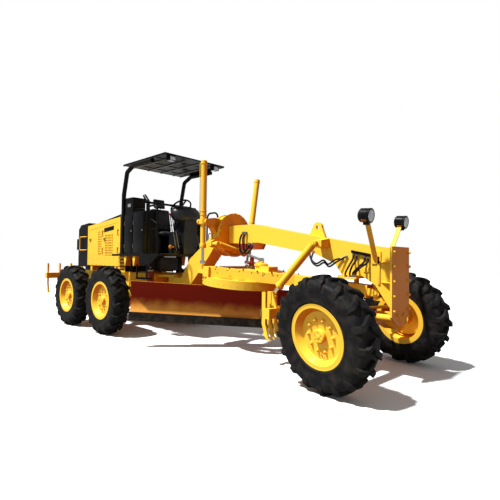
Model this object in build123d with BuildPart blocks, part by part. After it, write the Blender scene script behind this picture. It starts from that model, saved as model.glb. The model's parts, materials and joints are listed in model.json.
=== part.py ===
"""Motor grader: tandem-drive rear frame, jointed front frame, drawbar, circle and blade.

Frame: X forwards, Y to the driver's left, Z up, ground at Z = 0, all lengths in millimetres.
The machine stands with its front wheels leaned and steered a little to the right.
"""
from build123d import *
import os
from math import asin, atan2, cos, degrees, radians, sin, sqrt, tan

os.makedirs("parts", exist_ok=True)

# Where things stand along the machine
FRONT_AXLE_X = 3846.0
WHEELBASE = 5670.0
TANDEM_SPACING = 1534.0
TRACK = 2032.0
HITCH_BEHIND_AXLE = 4100.0

# Fits
SLIDE_GAP = 0.3
SHAFT_GAP = 0.05
EYE_GAP = 2.0

# Tyres and rims
TYRE_RADIUS = 640.0
TYRE_HALF_WIDTH = 165.0
LUG_COUNT = 17
LUG_FLAT = 100.0
TYRE_SIDES = 28
SHOULDER_RADIUS = 590.0
BULGE_RADIUS = 480.0
RIM_FLANGE_RADIUS = 358.0
RIM_BEAD_RADIUS = 305.0
RIM_HALF_WIDTH = 142.0
RIM_FLANGE = 15.0
RIM_WALL = 14.0
RIM_DISC_DEPTH = 78.0
RIM_DISC_THICK = 18.0
RIM_DISC_RADIUS = 262.0
HUB_RADIUS = 105.0
HUB_REACH = 75.0
HUB_CAP_RADIUS = 74.0
HUB_CAP_LENGTH = 52.0
SPINDLE_RADIUS = 45.0
SPINDLE_END = 70.0

# Front axle
WHEEL_LEAN = 7.57
WHEEL_STEER = -7.57
KINGPIN_INBOARD = 130.0
LEAN_PIN_INBOARD = 127.0
LEAN_PIN_DROP = 40.0
LEAN_BAR_RISE = 250.0
LEAN_BAR_RADIUS = 20.0
AXLE_PIVOT_Z = 750.0
AXLE_PIVOT_RADIUS = 40.0
AXLE_HALF_DEPTH = 60.0
AXLE_HALF_WIDTH = 80.0
KNUCKLE_RADIUS = 50.0
KNUCKLE_HALF_HEIGHT = 110.0
BRACKET_PLATE = 40.0
BRACKET_HALF_WIDTH = 50.0
STEER_ARM_LENGTH = 190.0
STEER_ARM_RISE = 60.0
STEER_ARM_WIDTH = 40.0
STEER_ARM_HALF_THICK = 13.0
KINGPIN_RADIUS = 22.0
LEAN_PIN_RADIUS = 30.0
TIE_PIN_RADIUS = 15.0
TIE_ROD_RADIUS = 19.0
TIE_PIN_REACH = 78.0
TIE_STUD_GAP = 6.0
TIE_BALL_RADIUS = 25.0
TIE_NECK_RADIUS = 11.0
TIE_NECK_LENGTH = 75.0

# Gooseneck and nose
NECK_HALF_WIDTH = 140.0
NECK_TOP_Z = 2000.0
NECK_BOTTOM_Z = 1710.0
NECK_PAST_SADDLE = 180.0
LEG_DROP_BACK = 180.0
LEG_REACH = 1324.0
PAD_AHEAD_OF_SADDLE = 360.0
PAD_LENGTH = 340.0
PAD_DEPTH = 95.0
NOSE_HALF_WIDTH = 250.0
NOSE_FACE_AHEAD = 385.0
NOSE_PLATE = 25.0
BOLSTER_BEHIND = 330.0
HITCH_PIN_RADIUS = 45.0
HITCH_TOP_Z = 1090.0
HITCH_BOTTOM_Z = 760.0
HITCH_PLATE = 45.0
EYE_HOLE_RADIUS = 26.0

# Drawbar, circle and blade
BALL_AHEAD = 100.0
BALL_Z = 1050.0
DRAWBAR_PITCH = 4.47
DRAWBAR_HALF_DEPTH = 80.0
DRAWBAR_TAIL = 270.0
CENTRE_BALL_AHEAD = 185.0
CIRCLE_REACH = 2340.0
CIRCLE_RADIUS = 668.0
CIRCLE_BAND = 30.0
CIRCLE_INNER_RADIUS = 560.0
CIRCLE_HEIGHT = 133.0
CIRCLE_FLANGE = 30.0
BLADE_TURN = -43.6
BLADE_LENGTH = 3660.0
BLADE_HEIGHT = 615.0
BLADE_PLATE = 18.0
BLADE_SAG = 95.0
BLADE_SHIFT = 18.0
BLADE_DROP = 30.0
BLADE_AHEAD = 65.0
EDGE_HEIGHT = 140.0
EDGE_THICK = 20.0
RAIL_HALF_HEIGHT = 28.0
RAIL_RISE = 150.0
RAIL_LENGTH = 2700.0
ARM_SPACING = 520.0
ARM_PLATE = 36.0
TILT_PIN_BACK = 190.0
TILT_PIN_RADIUS = 25.0

# Cylinders
LIFT_BALL_BEHIND = 2710.0
LIFT_BALL_RISE = 70.0
LIFT_TOP_LENGTH = 985.0
LIFT_FOOT_LENGTH = 400.0
LIFT_ROD_INSIDE = 620.0
LIFT_BARREL_RADIUS = 50.0
LIFT_ROD_RADIUS = 22.0
BALL_STUD_RADIUS = 30.0
BALL_CAP_GAP = 10.0
BALL_CAP_RADIUS = 44.0
BALL_CAP_HEIGHT = 50.0
LIFTS = (
    # side, name, Y of the ball, Y and Z of the trunnion
    (-1, "right", -580.0, -580.0, 2045.0),
    (1, "left", 440.0, 540.0, 1945.0),
)

FX = FRONT_AXLE_X
TANDEM_X = FX - WHEELBASE
HITCH_X = FX - HITCH_BEHIND_AXLE
WHEEL_Y = TRACK / 2


def save(piece, label):
    """Label one finished piece and write it to its own file."""
    piece.label = label
    export_step(piece, f"parts/{label}.step")


def side_plate(outline, y_low, y_high):
    """Plate with an outline in X and Z, between two heights of Y."""
    with BuildPart() as plate:
        with BuildSketch(Plane.XZ.offset(-y_high)):
            with BuildLine():
                Polyline(*outline, close=True)
            make_face()
        extrude(amount=y_high - y_low)
    return plate.part


def cross_plate(outline, x_low, x_high):
    """Plate with an outline in Y and Z, between two values of X."""
    with BuildPart() as plate:
        with BuildSketch(Plane.YZ.offset(x_low)):
            with BuildLine():
                Polyline(*outline, close=True)
            make_face()
        extrude(amount=x_high - x_low)
    return plate.part


def floor_plate(outline, z_low, z_high):
    """Plate with an outline in X and Y, between two heights."""
    with BuildPart() as plate:
        with BuildSketch(Plane.XY.offset(z_low)):
            with BuildLine():
                Polyline(*outline, close=True)
            make_face()
        extrude(amount=z_high - z_low)
    return plate.part


def block(x_low, x_high, y_low, y_high, z_low, z_high):
    """Rectangular block between two corners."""
    with BuildPart() as box:
        with Locations(((x_low + x_high) / 2, (y_low + y_high) / 2, (z_low + z_high) / 2)):
            Box(x_high - x_low, y_high - y_low, z_high - z_low)
    return box.part


def rod(start, end, radius):
    """Round bar between two points."""
    path = Vector(*end) - Vector(*start)
    with BuildPart() as bar:
        with BuildSketch(Plane(origin=start, z_dir=path)):
            Circle(radius)
        extrude(amount=path.length)
    return bar.part


def bent_tube(points, radius, bend):
    """Round tube that follows straight runs joined by equal bends."""
    with BuildPart() as tube:
        with BuildLine() as line:
            FilletPolyline(*points, radius=bend)
        with BuildSketch(Plane(origin=line.line @ 0, z_dir=line.line % 0)):
            Circle(radius)
        sweep()
    return tube.part


def fused(*pieces):
    """One solid from pieces that meet."""
    whole = pieces[0]
    for piece in pieces[1:]:
        whole = whole + piece
    return whole


def turned(piece, origin, axis, angle):
    """Copy of a piece turned about an axis through a point."""
    return piece.rotate(Axis(origin, axis), angle)


def about(point, origin, axis, angle):
    """A point turned about an axis through another point."""
    spin = Plane(origin=origin, z_dir=axis)
    local = spin.to_local_coords(Vector(*point))
    flat = Vector(local.X, local.Y, 0).rotate(Axis.Z, angle)
    return spin.from_local_coords(Vector(flat.X, flat.Y, local.Z))


# Wheels: axle along Y, outer side towards -Y, centre at the origin
def make_tyre():
    """Tyre with slanted lugs, one row each side of the middle."""
    carcass_rows = (
        # across, radius
        (-TYRE_HALF_WIDTH, BULGE_RADIUS),
        (-TYRE_HALF_WIDTH + 25, SHOULDER_RADIUS),
        (TYRE_HALF_WIDTH - 25, SHOULDER_RADIUS),
        (TYRE_HALF_WIDTH, BULGE_RADIUS),
    )
    bead = RIM_HALF_WIDTH - RIM_FLANGE - SLIDE_GAP
    with BuildPart() as tyre:
        for across, radius in carcass_rows:
            with BuildSketch(Plane.XZ.offset(-across)):
                RegularPolygon(radius, TYRE_SIDES)
        loft(ruled=True)
        for side in (-1, 1):
            with BuildSketch(Plane.XZ.offset(-side * TYRE_HALF_WIDTH)):
                RegularPolygon(BULGE_RADIUS - 25, TYRE_SIDES)
            with BuildSketch(Plane.XZ.offset(-side * bead)):
                RegularPolygon(RIM_FLANGE_RADIUS + 5, TYRE_SIDES)
            loft(ruled=True, mode=Mode.SUBTRACT)
        with BuildSketch(Plane.XZ):
            RegularPolygon(RIM_BEAD_RADIUS + 2.5, TYRE_SIDES)
        extrude(amount=TYRE_HALF_WIDTH, both=True, mode=Mode.SUBTRACT)
    lug = make_lug()
    pitch = 360 / LUG_COUNT
    lugs = []
    for index in range(LUG_COUNT):
        lugs.append(lug.rotate(Axis.Y, index * pitch))
        lugs.append(mirror(lug, about=Plane.XZ).rotate(Axis.Y, (index + 0.5) * pitch))
    with BuildPart() as whole:
        add(tyre.part.fuse(*lugs))
        with BuildSketch(Plane.XZ):
            Circle(TYRE_RADIUS)
        extrude(amount=TYRE_HALF_WIDTH + 10, both=True, mode=Mode.INTERSECT)
    return whole.part


def make_lug():
    """One lug at the bottom of the tyre, on its -Y side."""
    footprint = ((60, 12), (118, 12), (38, -70), (34, -160), (-36, -160), (-36, -85))
    section = (
        # across, height
        (12, -TYRE_RADIUS - 20),
        (-LUG_FLAT, -TYRE_RADIUS - 20),
        (-LUG_FLAT, -TYRE_RADIUS),
        (-TYRE_HALF_WIDTH + 4, -TYRE_RADIUS + 40),
        (-TYRE_HALF_WIDTH + 10, -SHOULDER_RADIUS + 40),
        (12, -SHOULDER_RADIUS + 30),
    )
    with BuildPart() as lug:
        with BuildSketch(Plane.XY.offset(-TYRE_RADIUS - 20)):
            with BuildLine():
                Polyline(*footprint, close=True)
            make_face()
        extrude(amount=TYRE_RADIUS - SHOULDER_RADIUS + 80)
        with BuildSketch(Plane.YZ):
            with BuildLine():
                Polyline(*section, close=True)
            make_face()
        extrude(amount=TYRE_RADIUS, both=True, mode=Mode.INTERSECT)
    return lug.part


def make_rim():
    """Rim, disc, hub and hub cap turned as one piece."""
    inner = RIM_BEAD_RADIUS - RIM_WALL
    seat = RIM_HALF_WIDTH - RIM_FLANGE
    face = -RIM_HALF_WIDTH + RIM_DISC_DEPTH
    back = face + RIM_DISC_THICK
    outline = (
        # radius, across
        (inner, RIM_HALF_WIDTH),
        (RIM_FLANGE_RADIUS, RIM_HALF_WIDTH),
        (RIM_FLANGE_RADIUS, seat),
        (RIM_BEAD_RADIUS, seat),
        (RIM_BEAD_RADIUS, -seat),
        (RIM_FLANGE_RADIUS, -seat),
        (RIM_FLANGE_RADIUS, -RIM_HALF_WIDTH),
        (inner + 20, -RIM_HALF_WIDTH),
        (RIM_DISC_RADIUS, face),
        (HUB_CAP_RADIUS, face),
        (HUB_CAP_RADIUS, face - HUB_CAP_LENGTH + 12),
        (HUB_CAP_RADIUS - 14, face - HUB_CAP_LENGTH),
        (0, face - HUB_CAP_LENGTH),
        (0, -SPINDLE_END),
        (SPINDLE_RADIUS + SHAFT_GAP, -SPINDLE_END),
        (SPINDLE_RADIUS + SHAFT_GAP, HUB_REACH),
        (HUB_RADIUS, HUB_REACH),
        (HUB_RADIUS, back),
        (RIM_DISC_RADIUS, back),
        (inner, back - 30),
    )
    with BuildPart() as rim:
        with BuildSketch(Plane.XY):
            with BuildLine():
                Polyline(*outline, close=True)
            make_face()
        revolve(axis=Axis.Y)
    return rim.part


# Rests of the front wheels: the axle swings to keep both leaned wheels on the ground
LEAN_REACH = KINGPIN_INBOARD + LEAN_PIN_INBOARD
AXLE_HALF_LENGTH = WHEEL_Y - LEAN_REACH
AXLE_SWING = -degrees(asin(LEAN_REACH / AXLE_HALF_LENGTH * sin(radians(WHEEL_LEAN))))
FRONT_WHEEL_Z = TYRE_RADIUS * cos(radians(WHEEL_LEAN)) + LUG_FLAT * sin(radians(WHEEL_LEAN))
LEAN_PIN_BELOW = (
    AXLE_PIVOT_Z - FRONT_WHEEL_Z + LEAN_PIN_DROP * cos(radians(WHEEL_LEAN))
) / cos(radians(AXLE_SWING))
LEAN_PIN_Z = AXLE_PIVOT_Z - LEAN_PIN_BELOW
AXLE_PIVOT = (FX, 0, AXLE_PIVOT_Z)


def side_point(side, inboard, x=0.0, rise=0.0):
    """Point of a front wheel's mounting before lean and steer; side -1 is right."""
    return (FX + x, side * (WHEEL_Y - inboard), LEAN_PIN_Z + LEAN_PIN_DROP + rise)


def swung(piece):
    """Piece turned with the front axle's swing."""
    return turned(piece, AXLE_PIVOT, (1, 0, 0), AXLE_SWING)


def leaned(piece, side):
    """Piece turned with one wheel's lean, then with the axle."""
    pin = side_point(side, LEAN_REACH, rise=-LEAN_PIN_DROP)
    return swung(turned(piece, pin, (1, 0, 0), WHEEL_LEAN - AXLE_SWING))


def steered(piece, side):
    """Piece turned about the kingpin, then leaned."""
    kingpin = side_point(side, KINGPIN_INBOARD)
    return leaned(turned(piece, kingpin, (0, 0, 1), WHEEL_STEER), side)


def posed_point(point, side, steer=True, lean=True):
    """A point carried through steer, lean and axle swing."""
    if steer:
        point = about(point, side_point(side, KINGPIN_INBOARD), (0, 0, 1), WHEEL_STEER)
    if lean:
        pin = side_point(side, LEAN_REACH, rise=-LEAN_PIN_DROP)
        point = about(tuple(point), pin, (1, 0, 0), WHEEL_LEAN - AXLE_SWING)
    return about(tuple(point), AXLE_PIVOT, (1, 0, 0), AXLE_SWING)


def mirrored(piece, side):
    """The right-hand piece, or its mirror for the left."""
    return piece if side < 0 else mirror(piece, about=Plane.XZ)


SIDES = ((-1, "right"), (1, "left"))
tyre = make_tyre()
rim = make_rim()
half_pitch = 180 / LUG_COUNT
for side, name in SIDES:
    for piece, kind in ((tyre, "tyre"), (rim, "rim")):
        own = mirrored(piece, side)
        for axle, offset in (("front_drive", TANDEM_SPACING / 2), ("rear_drive", -TANDEM_SPACING / 2)):
            place = Location((TANDEM_X + offset, side * WHEEL_Y, TYRE_RADIUS))
            save(own.moved(place), f"{axle}_{kind}_{name}")
        if side > 0:
            own = own.rotate(Axis.Y, half_pitch)
        front = own.moved(Location(side_point(side, 0)))
        save(steered(front, side), f"steer_{kind}_{name}")


def make_knuckle():
    """Right knuckle: kingpin barrel, spindle and steering arm, before lean and steer."""
    kingpin = side_point(-1, KINGPIN_INBOARD)
    centre = side_point(-1, 0)
    arm_z = kingpin[2] + STEER_ARM_RISE
    half = KNUCKLE_HALF_HEIGHT - SLIDE_GAP
    with BuildPart() as knuckle:
        with BuildSketch(Plane.XY.offset(kingpin[2] - half)):
            with Locations(kingpin[:2]):
                Circle(KNUCKLE_RADIUS)
        extrude(amount=2 * half)
        with BuildSketch(Plane.XZ.offset(-kingpin[1])):
            with Locations((FX, kingpin[2])):
                Circle(SPINDLE_RADIUS)
        extrude(amount=kingpin[1] - centre[1] + SPINDLE_END - SLIDE_GAP)
        with BuildSketch(Plane.XY.offset(arm_z - STEER_ARM_HALF_THICK)):
            with Locations((FX - STEER_ARM_LENGTH / 2, kingpin[1])):
                Rectangle(STEER_ARM_LENGTH, STEER_ARM_WIDTH)
            with Locations((FX - STEER_ARM_LENGTH, kingpin[1])):
                Circle(32)
        extrude(amount=2 * STEER_ARM_HALF_THICK)
        with BuildSketch(Plane.XY.offset(kingpin[2] - half)):
            with Locations(kingpin[:2]):
                Circle(KINGPIN_RADIUS + SHAFT_GAP)
            with Locations((FX - STEER_ARM_LENGTH, kingpin[1])):
                Circle(TIE_PIN_RADIUS + SHAFT_GAP)
        extrude(amount=2 * half, mode=Mode.SUBTRACT)
    return knuckle.part


def make_lean_bracket():
    """Right lean bracket: web on the lean pin, two plates and the kingpin."""
    kingpin = side_point(-1, KINGPIN_INBOARD)
    pin = side_point(-1, LEAN_REACH, rise=-LEAN_PIN_DROP)
    low, high = kingpin[2] - KNUCKLE_HALF_HEIGHT, kingpin[2] + KNUCKLE_HALF_HEIGHT
    bar_z = pin[2] + LEAN_BAR_RISE
    with BuildPart() as bracket:
        for z in (low - BRACKET_PLATE, high):
            with BuildSketch(Plane.XY.offset(z)):
                with Locations((FX, (kingpin[1] + pin[1]) / 2 + 15)):
                    Rectangle(2 * BRACKET_HALF_WIDTH, LEAN_PIN_INBOARD + 30)
                with Locations(kingpin[:2]):
                    Circle(55)
            extrude(amount=BRACKET_PLATE)
        with BuildSketch(Plane.XY.offset(low - BRACKET_PLATE)):
            with Locations(kingpin[:2]):
                Circle(KINGPIN_RADIUS)
        extrude(amount=high - low + 2 * BRACKET_PLATE)
        with BuildSketch(Plane.YZ.offset(FX - BRACKET_HALF_WIDTH)):
            with BuildLine():
                Polyline(
                    (pin[1] - 40, low - BRACKET_PLATE),
                    (pin[1] + 40, low - BRACKET_PLATE),
                    (pin[1] + 50, pin[2]),
                    (pin[1] + 32, bar_z),
                    (pin[1] + 18, bar_z + 34),
                    (pin[1] - 18, bar_z + 34),
                    (pin[1] - 32, bar_z),
                    close=True,
                )
            make_face()
            with Locations((pin[1], pin[2])):
                Circle(LEAN_PIN_RADIUS + SHAFT_GAP, mode=Mode.SUBTRACT)
        extrude(amount=2 * BRACKET_HALF_WIDTH)
        with Locations((FX, pin[1], bar_z)):
            Box(44, 100, 90, mode=Mode.SUBTRACT)
        with BuildSketch(Plane.YZ.offset(FX - BRACKET_HALF_WIDTH)):
            with Locations((pin[1], bar_z)):
                Circle(TIE_PIN_RADIUS)
        extrude(amount=2 * BRACKET_HALF_WIDTH)
    return bracket.part


def make_tie_stud():
    """Stud under the left steering arm, drawn on the right; it ends just above the tie rod's ball."""
    kingpin = side_point(-1, KINGPIN_INBOARD)
    x, y = FX - STEER_ARM_LENGTH, kingpin[1]
    arm_z = kingpin[2] + STEER_ARM_RISE
    ball_top = arm_z - STEER_ARM_HALF_THICK - TIE_PIN_REACH + TIE_BALL_RADIUS
    return rod((x, y, ball_top + TIE_STUD_GAP), (x, y, arm_z + STEER_ARM_HALF_THICK), TIE_PIN_RADIUS + 1)


knuckles = {"right": make_knuckle(), "left": fused(make_knuckle(), make_tie_stud())}
for side, name in SIDES:
    save(steered(mirrored(knuckles[name], side), side), f"steering_knuckle_{name}")
    save(leaned(mirrored(make_lean_bracket(), side), side), f"lean_bracket_{name}")


def make_front_axle():
    """Arched beam with forked ends on the lean pins."""
    end = AXLE_HALF_LENGTH - 125
    cheek_in = BRACKET_HALF_WIDTH + SLIDE_GAP
    outline = (
        # across, height
        (-end, LEAN_PIN_Z - 55),
        (end, LEAN_PIN_Z - 55),
        (end, LEAN_PIN_Z + 55),
        (190, AXLE_PIVOT_Z + AXLE_HALF_DEPTH),
        (-190, AXLE_PIVOT_Z + AXLE_HALF_DEPTH),
        (-end, LEAN_PIN_Z + 55),
    )
    beam = cross_plate(outline, FX - AXLE_HALF_WIDTH, FX + AXLE_HALF_WIDTH)
    with BuildPart() as arch:
        add(beam)
        with BuildSketch(Plane.YZ.offset(FX - AXLE_HALF_WIDTH)):
            with BuildLine():
                Polyline(
                    (-end + 60, LEAN_PIN_Z - 56),
                    (-150, AXLE_PIVOT_Z - AXLE_HALF_DEPTH),
                    (150, AXLE_PIVOT_Z - AXLE_HALF_DEPTH),
                    (end - 60, LEAN_PIN_Z - 56),
                    close=True,
                )
            make_face()
            with Locations((0, AXLE_PIVOT_Z)):
                Circle(AXLE_PIVOT_RADIUS + SHAFT_GAP)
        extrude(amount=2 * AXLE_HALF_WIDTH, mode=Mode.SUBTRACT)
        for side in (-1, 1):
            for x_low in (-AXLE_HALF_WIDTH, cheek_in):
                with BuildSketch(Plane.YZ.offset(FX + x_low)):
                    with Locations((side * AXLE_HALF_LENGTH, LEAN_PIN_Z)):
                        Circle(50)
                    with Locations((side * (AXLE_HALF_LENGTH + end) / 2, LEAN_PIN_Z)):
                        Rectangle(AXLE_HALF_LENGTH - end + 4, 100)
                extrude(amount=AXLE_HALF_WIDTH - cheek_in)
            with BuildSketch(Plane.YZ.offset(FX - AXLE_HALF_WIDTH)):
                with Locations((side * AXLE_HALF_LENGTH, LEAN_PIN_Z)):
                    Circle(LEAN_PIN_RADIUS)
            extrude(amount=2 * AXLE_HALF_WIDTH)
    return arch.part


save(swung(make_front_axle()), "front_axle")


def link_between(start, end, radius, eye_radius, eye_half, eye_axis, bore):
    """Round link whose eyes turn on pins along one axis."""
    run = (Vector(*end) - Vector(*start)).normalized()
    inset = run * (eye_radius * 0.8)
    body = rod(tuple(Vector(*start) + inset), tuple(Vector(*end) - inset), radius)
    step = Vector(*eye_axis) * eye_half
    for point in (start, end):
        centre = Vector(*point)
        body = body + rod(tuple(centre - step), tuple(centre + step), eye_radius)
    for point in (start, end):
        centre = Vector(*point)
        body = body - rod(tuple(centre - step * 1.5), tuple(centre + step * 1.5), bore)
    return body


# Lean bar between the brackets' tops, and the tie rod behind the axle
bar_ends = [
    tuple(posed_point(side_point(side, LEAN_REACH, rise=LEAN_BAR_RISE - LEAN_PIN_DROP), side, steer=False))
    for side in (-1, 1)
]
save(link_between(*bar_ends, LEAN_BAR_RADIUS, 30, 20, (1, 0, 0), TIE_PIN_RADIUS + SHAFT_GAP), "lean_bar")

KINGPIN_AXIS = Vector(0, 0, 1).rotate(Axis.X, WHEEL_LEAN)
TIE_PIN_DROP = TIE_PIN_REACH + STEER_ARM_HALF_THICK - STEER_ARM_RISE
tie_points = [
    tuple(posed_point(side_point(side, KINGPIN_INBOARD, x=-STEER_ARM_LENGTH, rise=-TIE_PIN_DROP), side))
    for side in (-1, 1)
]


def make_tie_rod_end():
    """Stud in the right steering arm, with a cross eye for the tie rod."""
    centre = Vector(*tie_points[0])
    up = KINGPIN_AXIS
    reach = TIE_PIN_REACH + 2 * STEER_ARM_HALF_THICK
    stud = rod(tuple(centre), tuple(centre + up * reach), TIE_PIN_RADIUS)
    collar = rod(tuple(centre - up * 20), tuple(centre + up * (TIE_PIN_REACH - SLIDE_GAP)), 24)
    across = rod(tuple(centre - Vector(34, 0, 0)), tuple(centre + Vector(34, 0, 0)), 12)
    return fused(stud, collar, across)


def make_tie_rod():
    """Tie rod with a fork on the right end piece and an eye beside the left arm."""
    right, left = Vector(*tie_points[0]), Vector(*tie_points[1])
    run = (left - right).normalized()
    body = rod(tuple(right + run * 55), tuple(left - run * TIE_NECK_LENGTH), TIE_ROD_RADIUS)
    body = body + rod(tuple(left - run * (TIE_NECK_LENGTH + 1)), tuple(left), TIE_NECK_RADIUS)
    body = body + Sphere(TIE_BALL_RADIUS).moved(Location(left))
    for step in (-1, 1):
        inner = right + Vector(step * 27, 0, 0)
        outer = right + Vector(step * 42, 0, 0)
        cheek = rod(tuple(inner), tuple(outer), 24)
        root = right + run * 62 + Vector(step * 12, 0, 0)
        arm = rod(tuple(inner + Vector(step * 7.5, 0, 0)), tuple(root), 7)
        body = body + cheek + arm
    bore = rod(tuple(right - Vector(50, 0, 0)), tuple(right + Vector(50, 0, 0)), 12 + SHAFT_GAP)
    return body - bore


save(make_tie_rod_end(), "tie_rod_end")
save(make_tie_rod(), "tie_rod")


# Drawbar, circle and blade are drawn level and straight, then pitched and turned
BALL = (FX + BALL_AHEAD, 0, BALL_Z)
CIRCLE_X = BALL[0] - CIRCLE_REACH
DRAWBAR_TOP = BALL_Z + DRAWBAR_HALF_DEPTH
DRAWBAR_BOTTOM = BALL_Z - DRAWBAR_HALF_DEPTH
RING_TOP = DRAWBAR_BOTTOM - SLIDE_GAP
RING_BOTTOM = RING_TOP - CIRCLE_HEIGHT


def pitched(piece):
    """Piece turned with the drawbar about the ball."""
    return turned(piece, BALL, (0, 1, 0), DRAWBAR_PITCH)


def circled(piece):
    """Piece turned with the circle, then pitched with the drawbar."""
    return pitched(turned(piece, (CIRCLE_X, 0, 0), (0, 0, 1), BLADE_TURN))


def pitched_point(point):
    """A drawbar point carried through the pitch."""
    return about(point, BALL, (0, 1, 0), DRAWBAR_PITCH)


def circled_point(point):
    """A circle point carried through the turn and the pitch."""
    turned_one = about(point, (CIRCLE_X, 0, 0), (0, 0, 1), BLADE_TURN)
    return about(tuple(turned_one), BALL, (0, 1, 0), DRAWBAR_PITCH)


SADDLE_X = pitched_point((BALL[0] - LIFT_BALL_BEHIND, 0, BALL_Z + LIFT_BALL_RISE)).X


def neck_x(behind):
    """X of a place given as its distance behind the front axle."""
    return FX - behind


def make_front_frame():
    """Gooseneck box, sloping leg, hitch block, nose plate and rear bolster."""
    w = NECK_HALF_WIDTH
    nose_x = FX + NOSE_FACE_AHEAD - NOSE_PLATE
    flat_end = SADDLE_X - NECK_PAST_SADDLE
    reach = (flat_end - HITCH_X) / LEG_REACH
    pad_rear = SADDLE_X + PAD_AHEAD_OF_SADDLE
    outline = (
        # along, height
        (nose_x, 1590),
        (neck_x(10), 1640),
        (neck_x(900), 1800),
        (neck_x(1720), 1960),
        (neck_x(1890), NECK_TOP_Z),
        (flat_end, NECK_TOP_Z),
        (flat_end - LEG_DROP_BACK * reach, 1800),
        (HITCH_X + 610 * reach, 1440),
        (HITCH_X + 360 * reach, HITCH_TOP_Z),
        (HITCH_X, HITCH_TOP_Z),
        (HITCH_X, HITCH_BOTTOM_Z),
        (HITCH_X + 460 * reach, HITCH_BOTTOM_Z),
        (HITCH_X + 650 * reach, 980),
        (flat_end - LEG_DROP_BACK * reach, 1497),
        (flat_end, NECK_BOTTOM_Z),
        (neck_x(1790), NECK_BOTTOM_Z),
        (neck_x(1000), 1570),
        (neck_x(830), 1575),
        (neck_x(430), 1400),
        (neck_x(BOLSTER_BEHIND), 1262),
        (neck_x(60), 1262),
        (nose_x - 235, 1150),
        (nose_x - 60, 900),
        (nose_x, 900),
    )
    bolster_x = FX - BOLSTER_BEHIND
    pad = (
        # along, height
        (pad_rear, NECK_BOTTOM_Z + 20),
        (pad_rear + 15, NECK_BOTTOM_Z - PAD_DEPTH),
        (pad_rear + PAD_LENGTH - 60, NECK_BOTTOM_Z - PAD_DEPTH),
        (pad_rear + PAD_LENGTH + 12, NECK_BOTTOM_Z + 20),
    )
    with BuildPart() as frame:
        add(side_plate(outline, -w, w))
        add(side_plate(pad, -w, w))
        with BuildSketch(Plane.XY.offset(HITCH_BOTTOM_Z)):
            with Locations((HITCH_X, 0)):
                Circle(w)
        extrude(amount=HITCH_TOP_Z - HITCH_BOTTOM_Z)
        with BuildSketch(Plane.XY.offset(HITCH_BOTTOM_Z)):
            with Locations((HITCH_X, 0)):
                Circle(HITCH_PIN_RADIUS + SHAFT_GAP)
        extrude(amount=HITCH_TOP_Z - HITCH_BOTTOM_Z, mode=Mode.SUBTRACT)
        with BuildSketch(Plane.YZ.offset(nose_x)):
            with BuildLine():
                Polyline(
                    (-NOSE_HALF_WIDTH, 1615),
                    (NOSE_HALF_WIDTH, 1615),
                    (NOSE_HALF_WIDTH, 790),
                    (70, 665),
                    (-70, 665),
                    (-NOSE_HALF_WIDTH, 790),
                    close=True,
                )
            make_face()
        extrude(amount=NOSE_PLATE)
        with BuildSketch(Plane.YZ.offset(bolster_x)):
            with BuildLine():
                Polyline(
                    (-NOSE_HALF_WIDTH, 1262),
                    (NOSE_HALF_WIDTH, 1262),
                    (NOSE_HALF_WIDTH, 790),
                    (90, 665),
                    (-90, 665),
                    (-NOSE_HALF_WIDTH, 790),
                    close=True,
                )
            make_face()
            with Locations((0, 1062)):
                Rectangle(350, 320, mode=Mode.SUBTRACT)
        extrude(amount=40)
        with BuildSketch(Plane.XY.offset(1262 - 40)):
            with Locations(((bolster_x + neck_x(60)) / 2, 0)):
                Rectangle(neck_x(60) - bolster_x, 2 * NOSE_HALF_WIDTH)
        extrude(amount=40)
        with BuildSketch(Plane.YZ.offset(bolster_x - 12)):
            with Locations((0, AXLE_PIVOT_Z)):
                Circle(AXLE_PIVOT_RADIUS)
        extrude(amount=BOLSTER_BEHIND + NOSE_FACE_AHEAD + 24)
        for z_mid in (BALL_Z - 75, BALL_Z + 75):
            with BuildSketch(Plane.XY.offset(z_mid - 20)):
                with Locations((FX + BALL_AHEAD, 0)):
                    Circle(62)
                with Locations((FX + (BALL_AHEAD + NOSE_FACE_AHEAD - NOSE_PLATE) / 2, 0)):
                    Rectangle(NOSE_FACE_AHEAD - NOSE_PLATE - BALL_AHEAD, 124)
            extrude(amount=40)
        with BuildSketch(Plane.XY.offset(BALL_Z - 95)):
            with Locations((FX + BALL_AHEAD, 0)):
                Circle(25)
        extrude(amount=190)
    return frame.part


EYE_BEHIND = 790.0
SCARIFIER_PIVOT_BEHIND = 385.0
SCARIFIER_PIVOT_Z = 950.0
SCARIFIER_CYLINDER_Y = 400.0
SCARIFIER_TRUNNION = (FX - 588, -SCARIFIER_CYLINDER_Y, 1665)


def make_lifting_eye():
    """Eye plate that stands on the gooseneck."""
    top = 1800 - (EYE_BEHIND - 900) * (1800 - 1640) / 890
    with BuildPart() as eye:
        with BuildSketch(Plane.XZ.offset(-25)):
            with Locations((neck_x(EYE_BEHIND), 1905)):
                Circle(72)
            with BuildLine():
                Polyline(
                    (neck_x(EYE_BEHIND) - 140, top - 30),
                    (neck_x(EYE_BEHIND) - 62, 1930),
                    (neck_x(EYE_BEHIND) + 62, 1930),
                    (neck_x(EYE_BEHIND) + 140, top - 90),
                    close=True,
                )
            make_face()
            with Locations((neck_x(EYE_BEHIND), 1905)):
                Circle(EYE_HOLE_RADIUS, mode=Mode.SUBTRACT)
        extrude(amount=50)
    return eye.part


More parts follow.
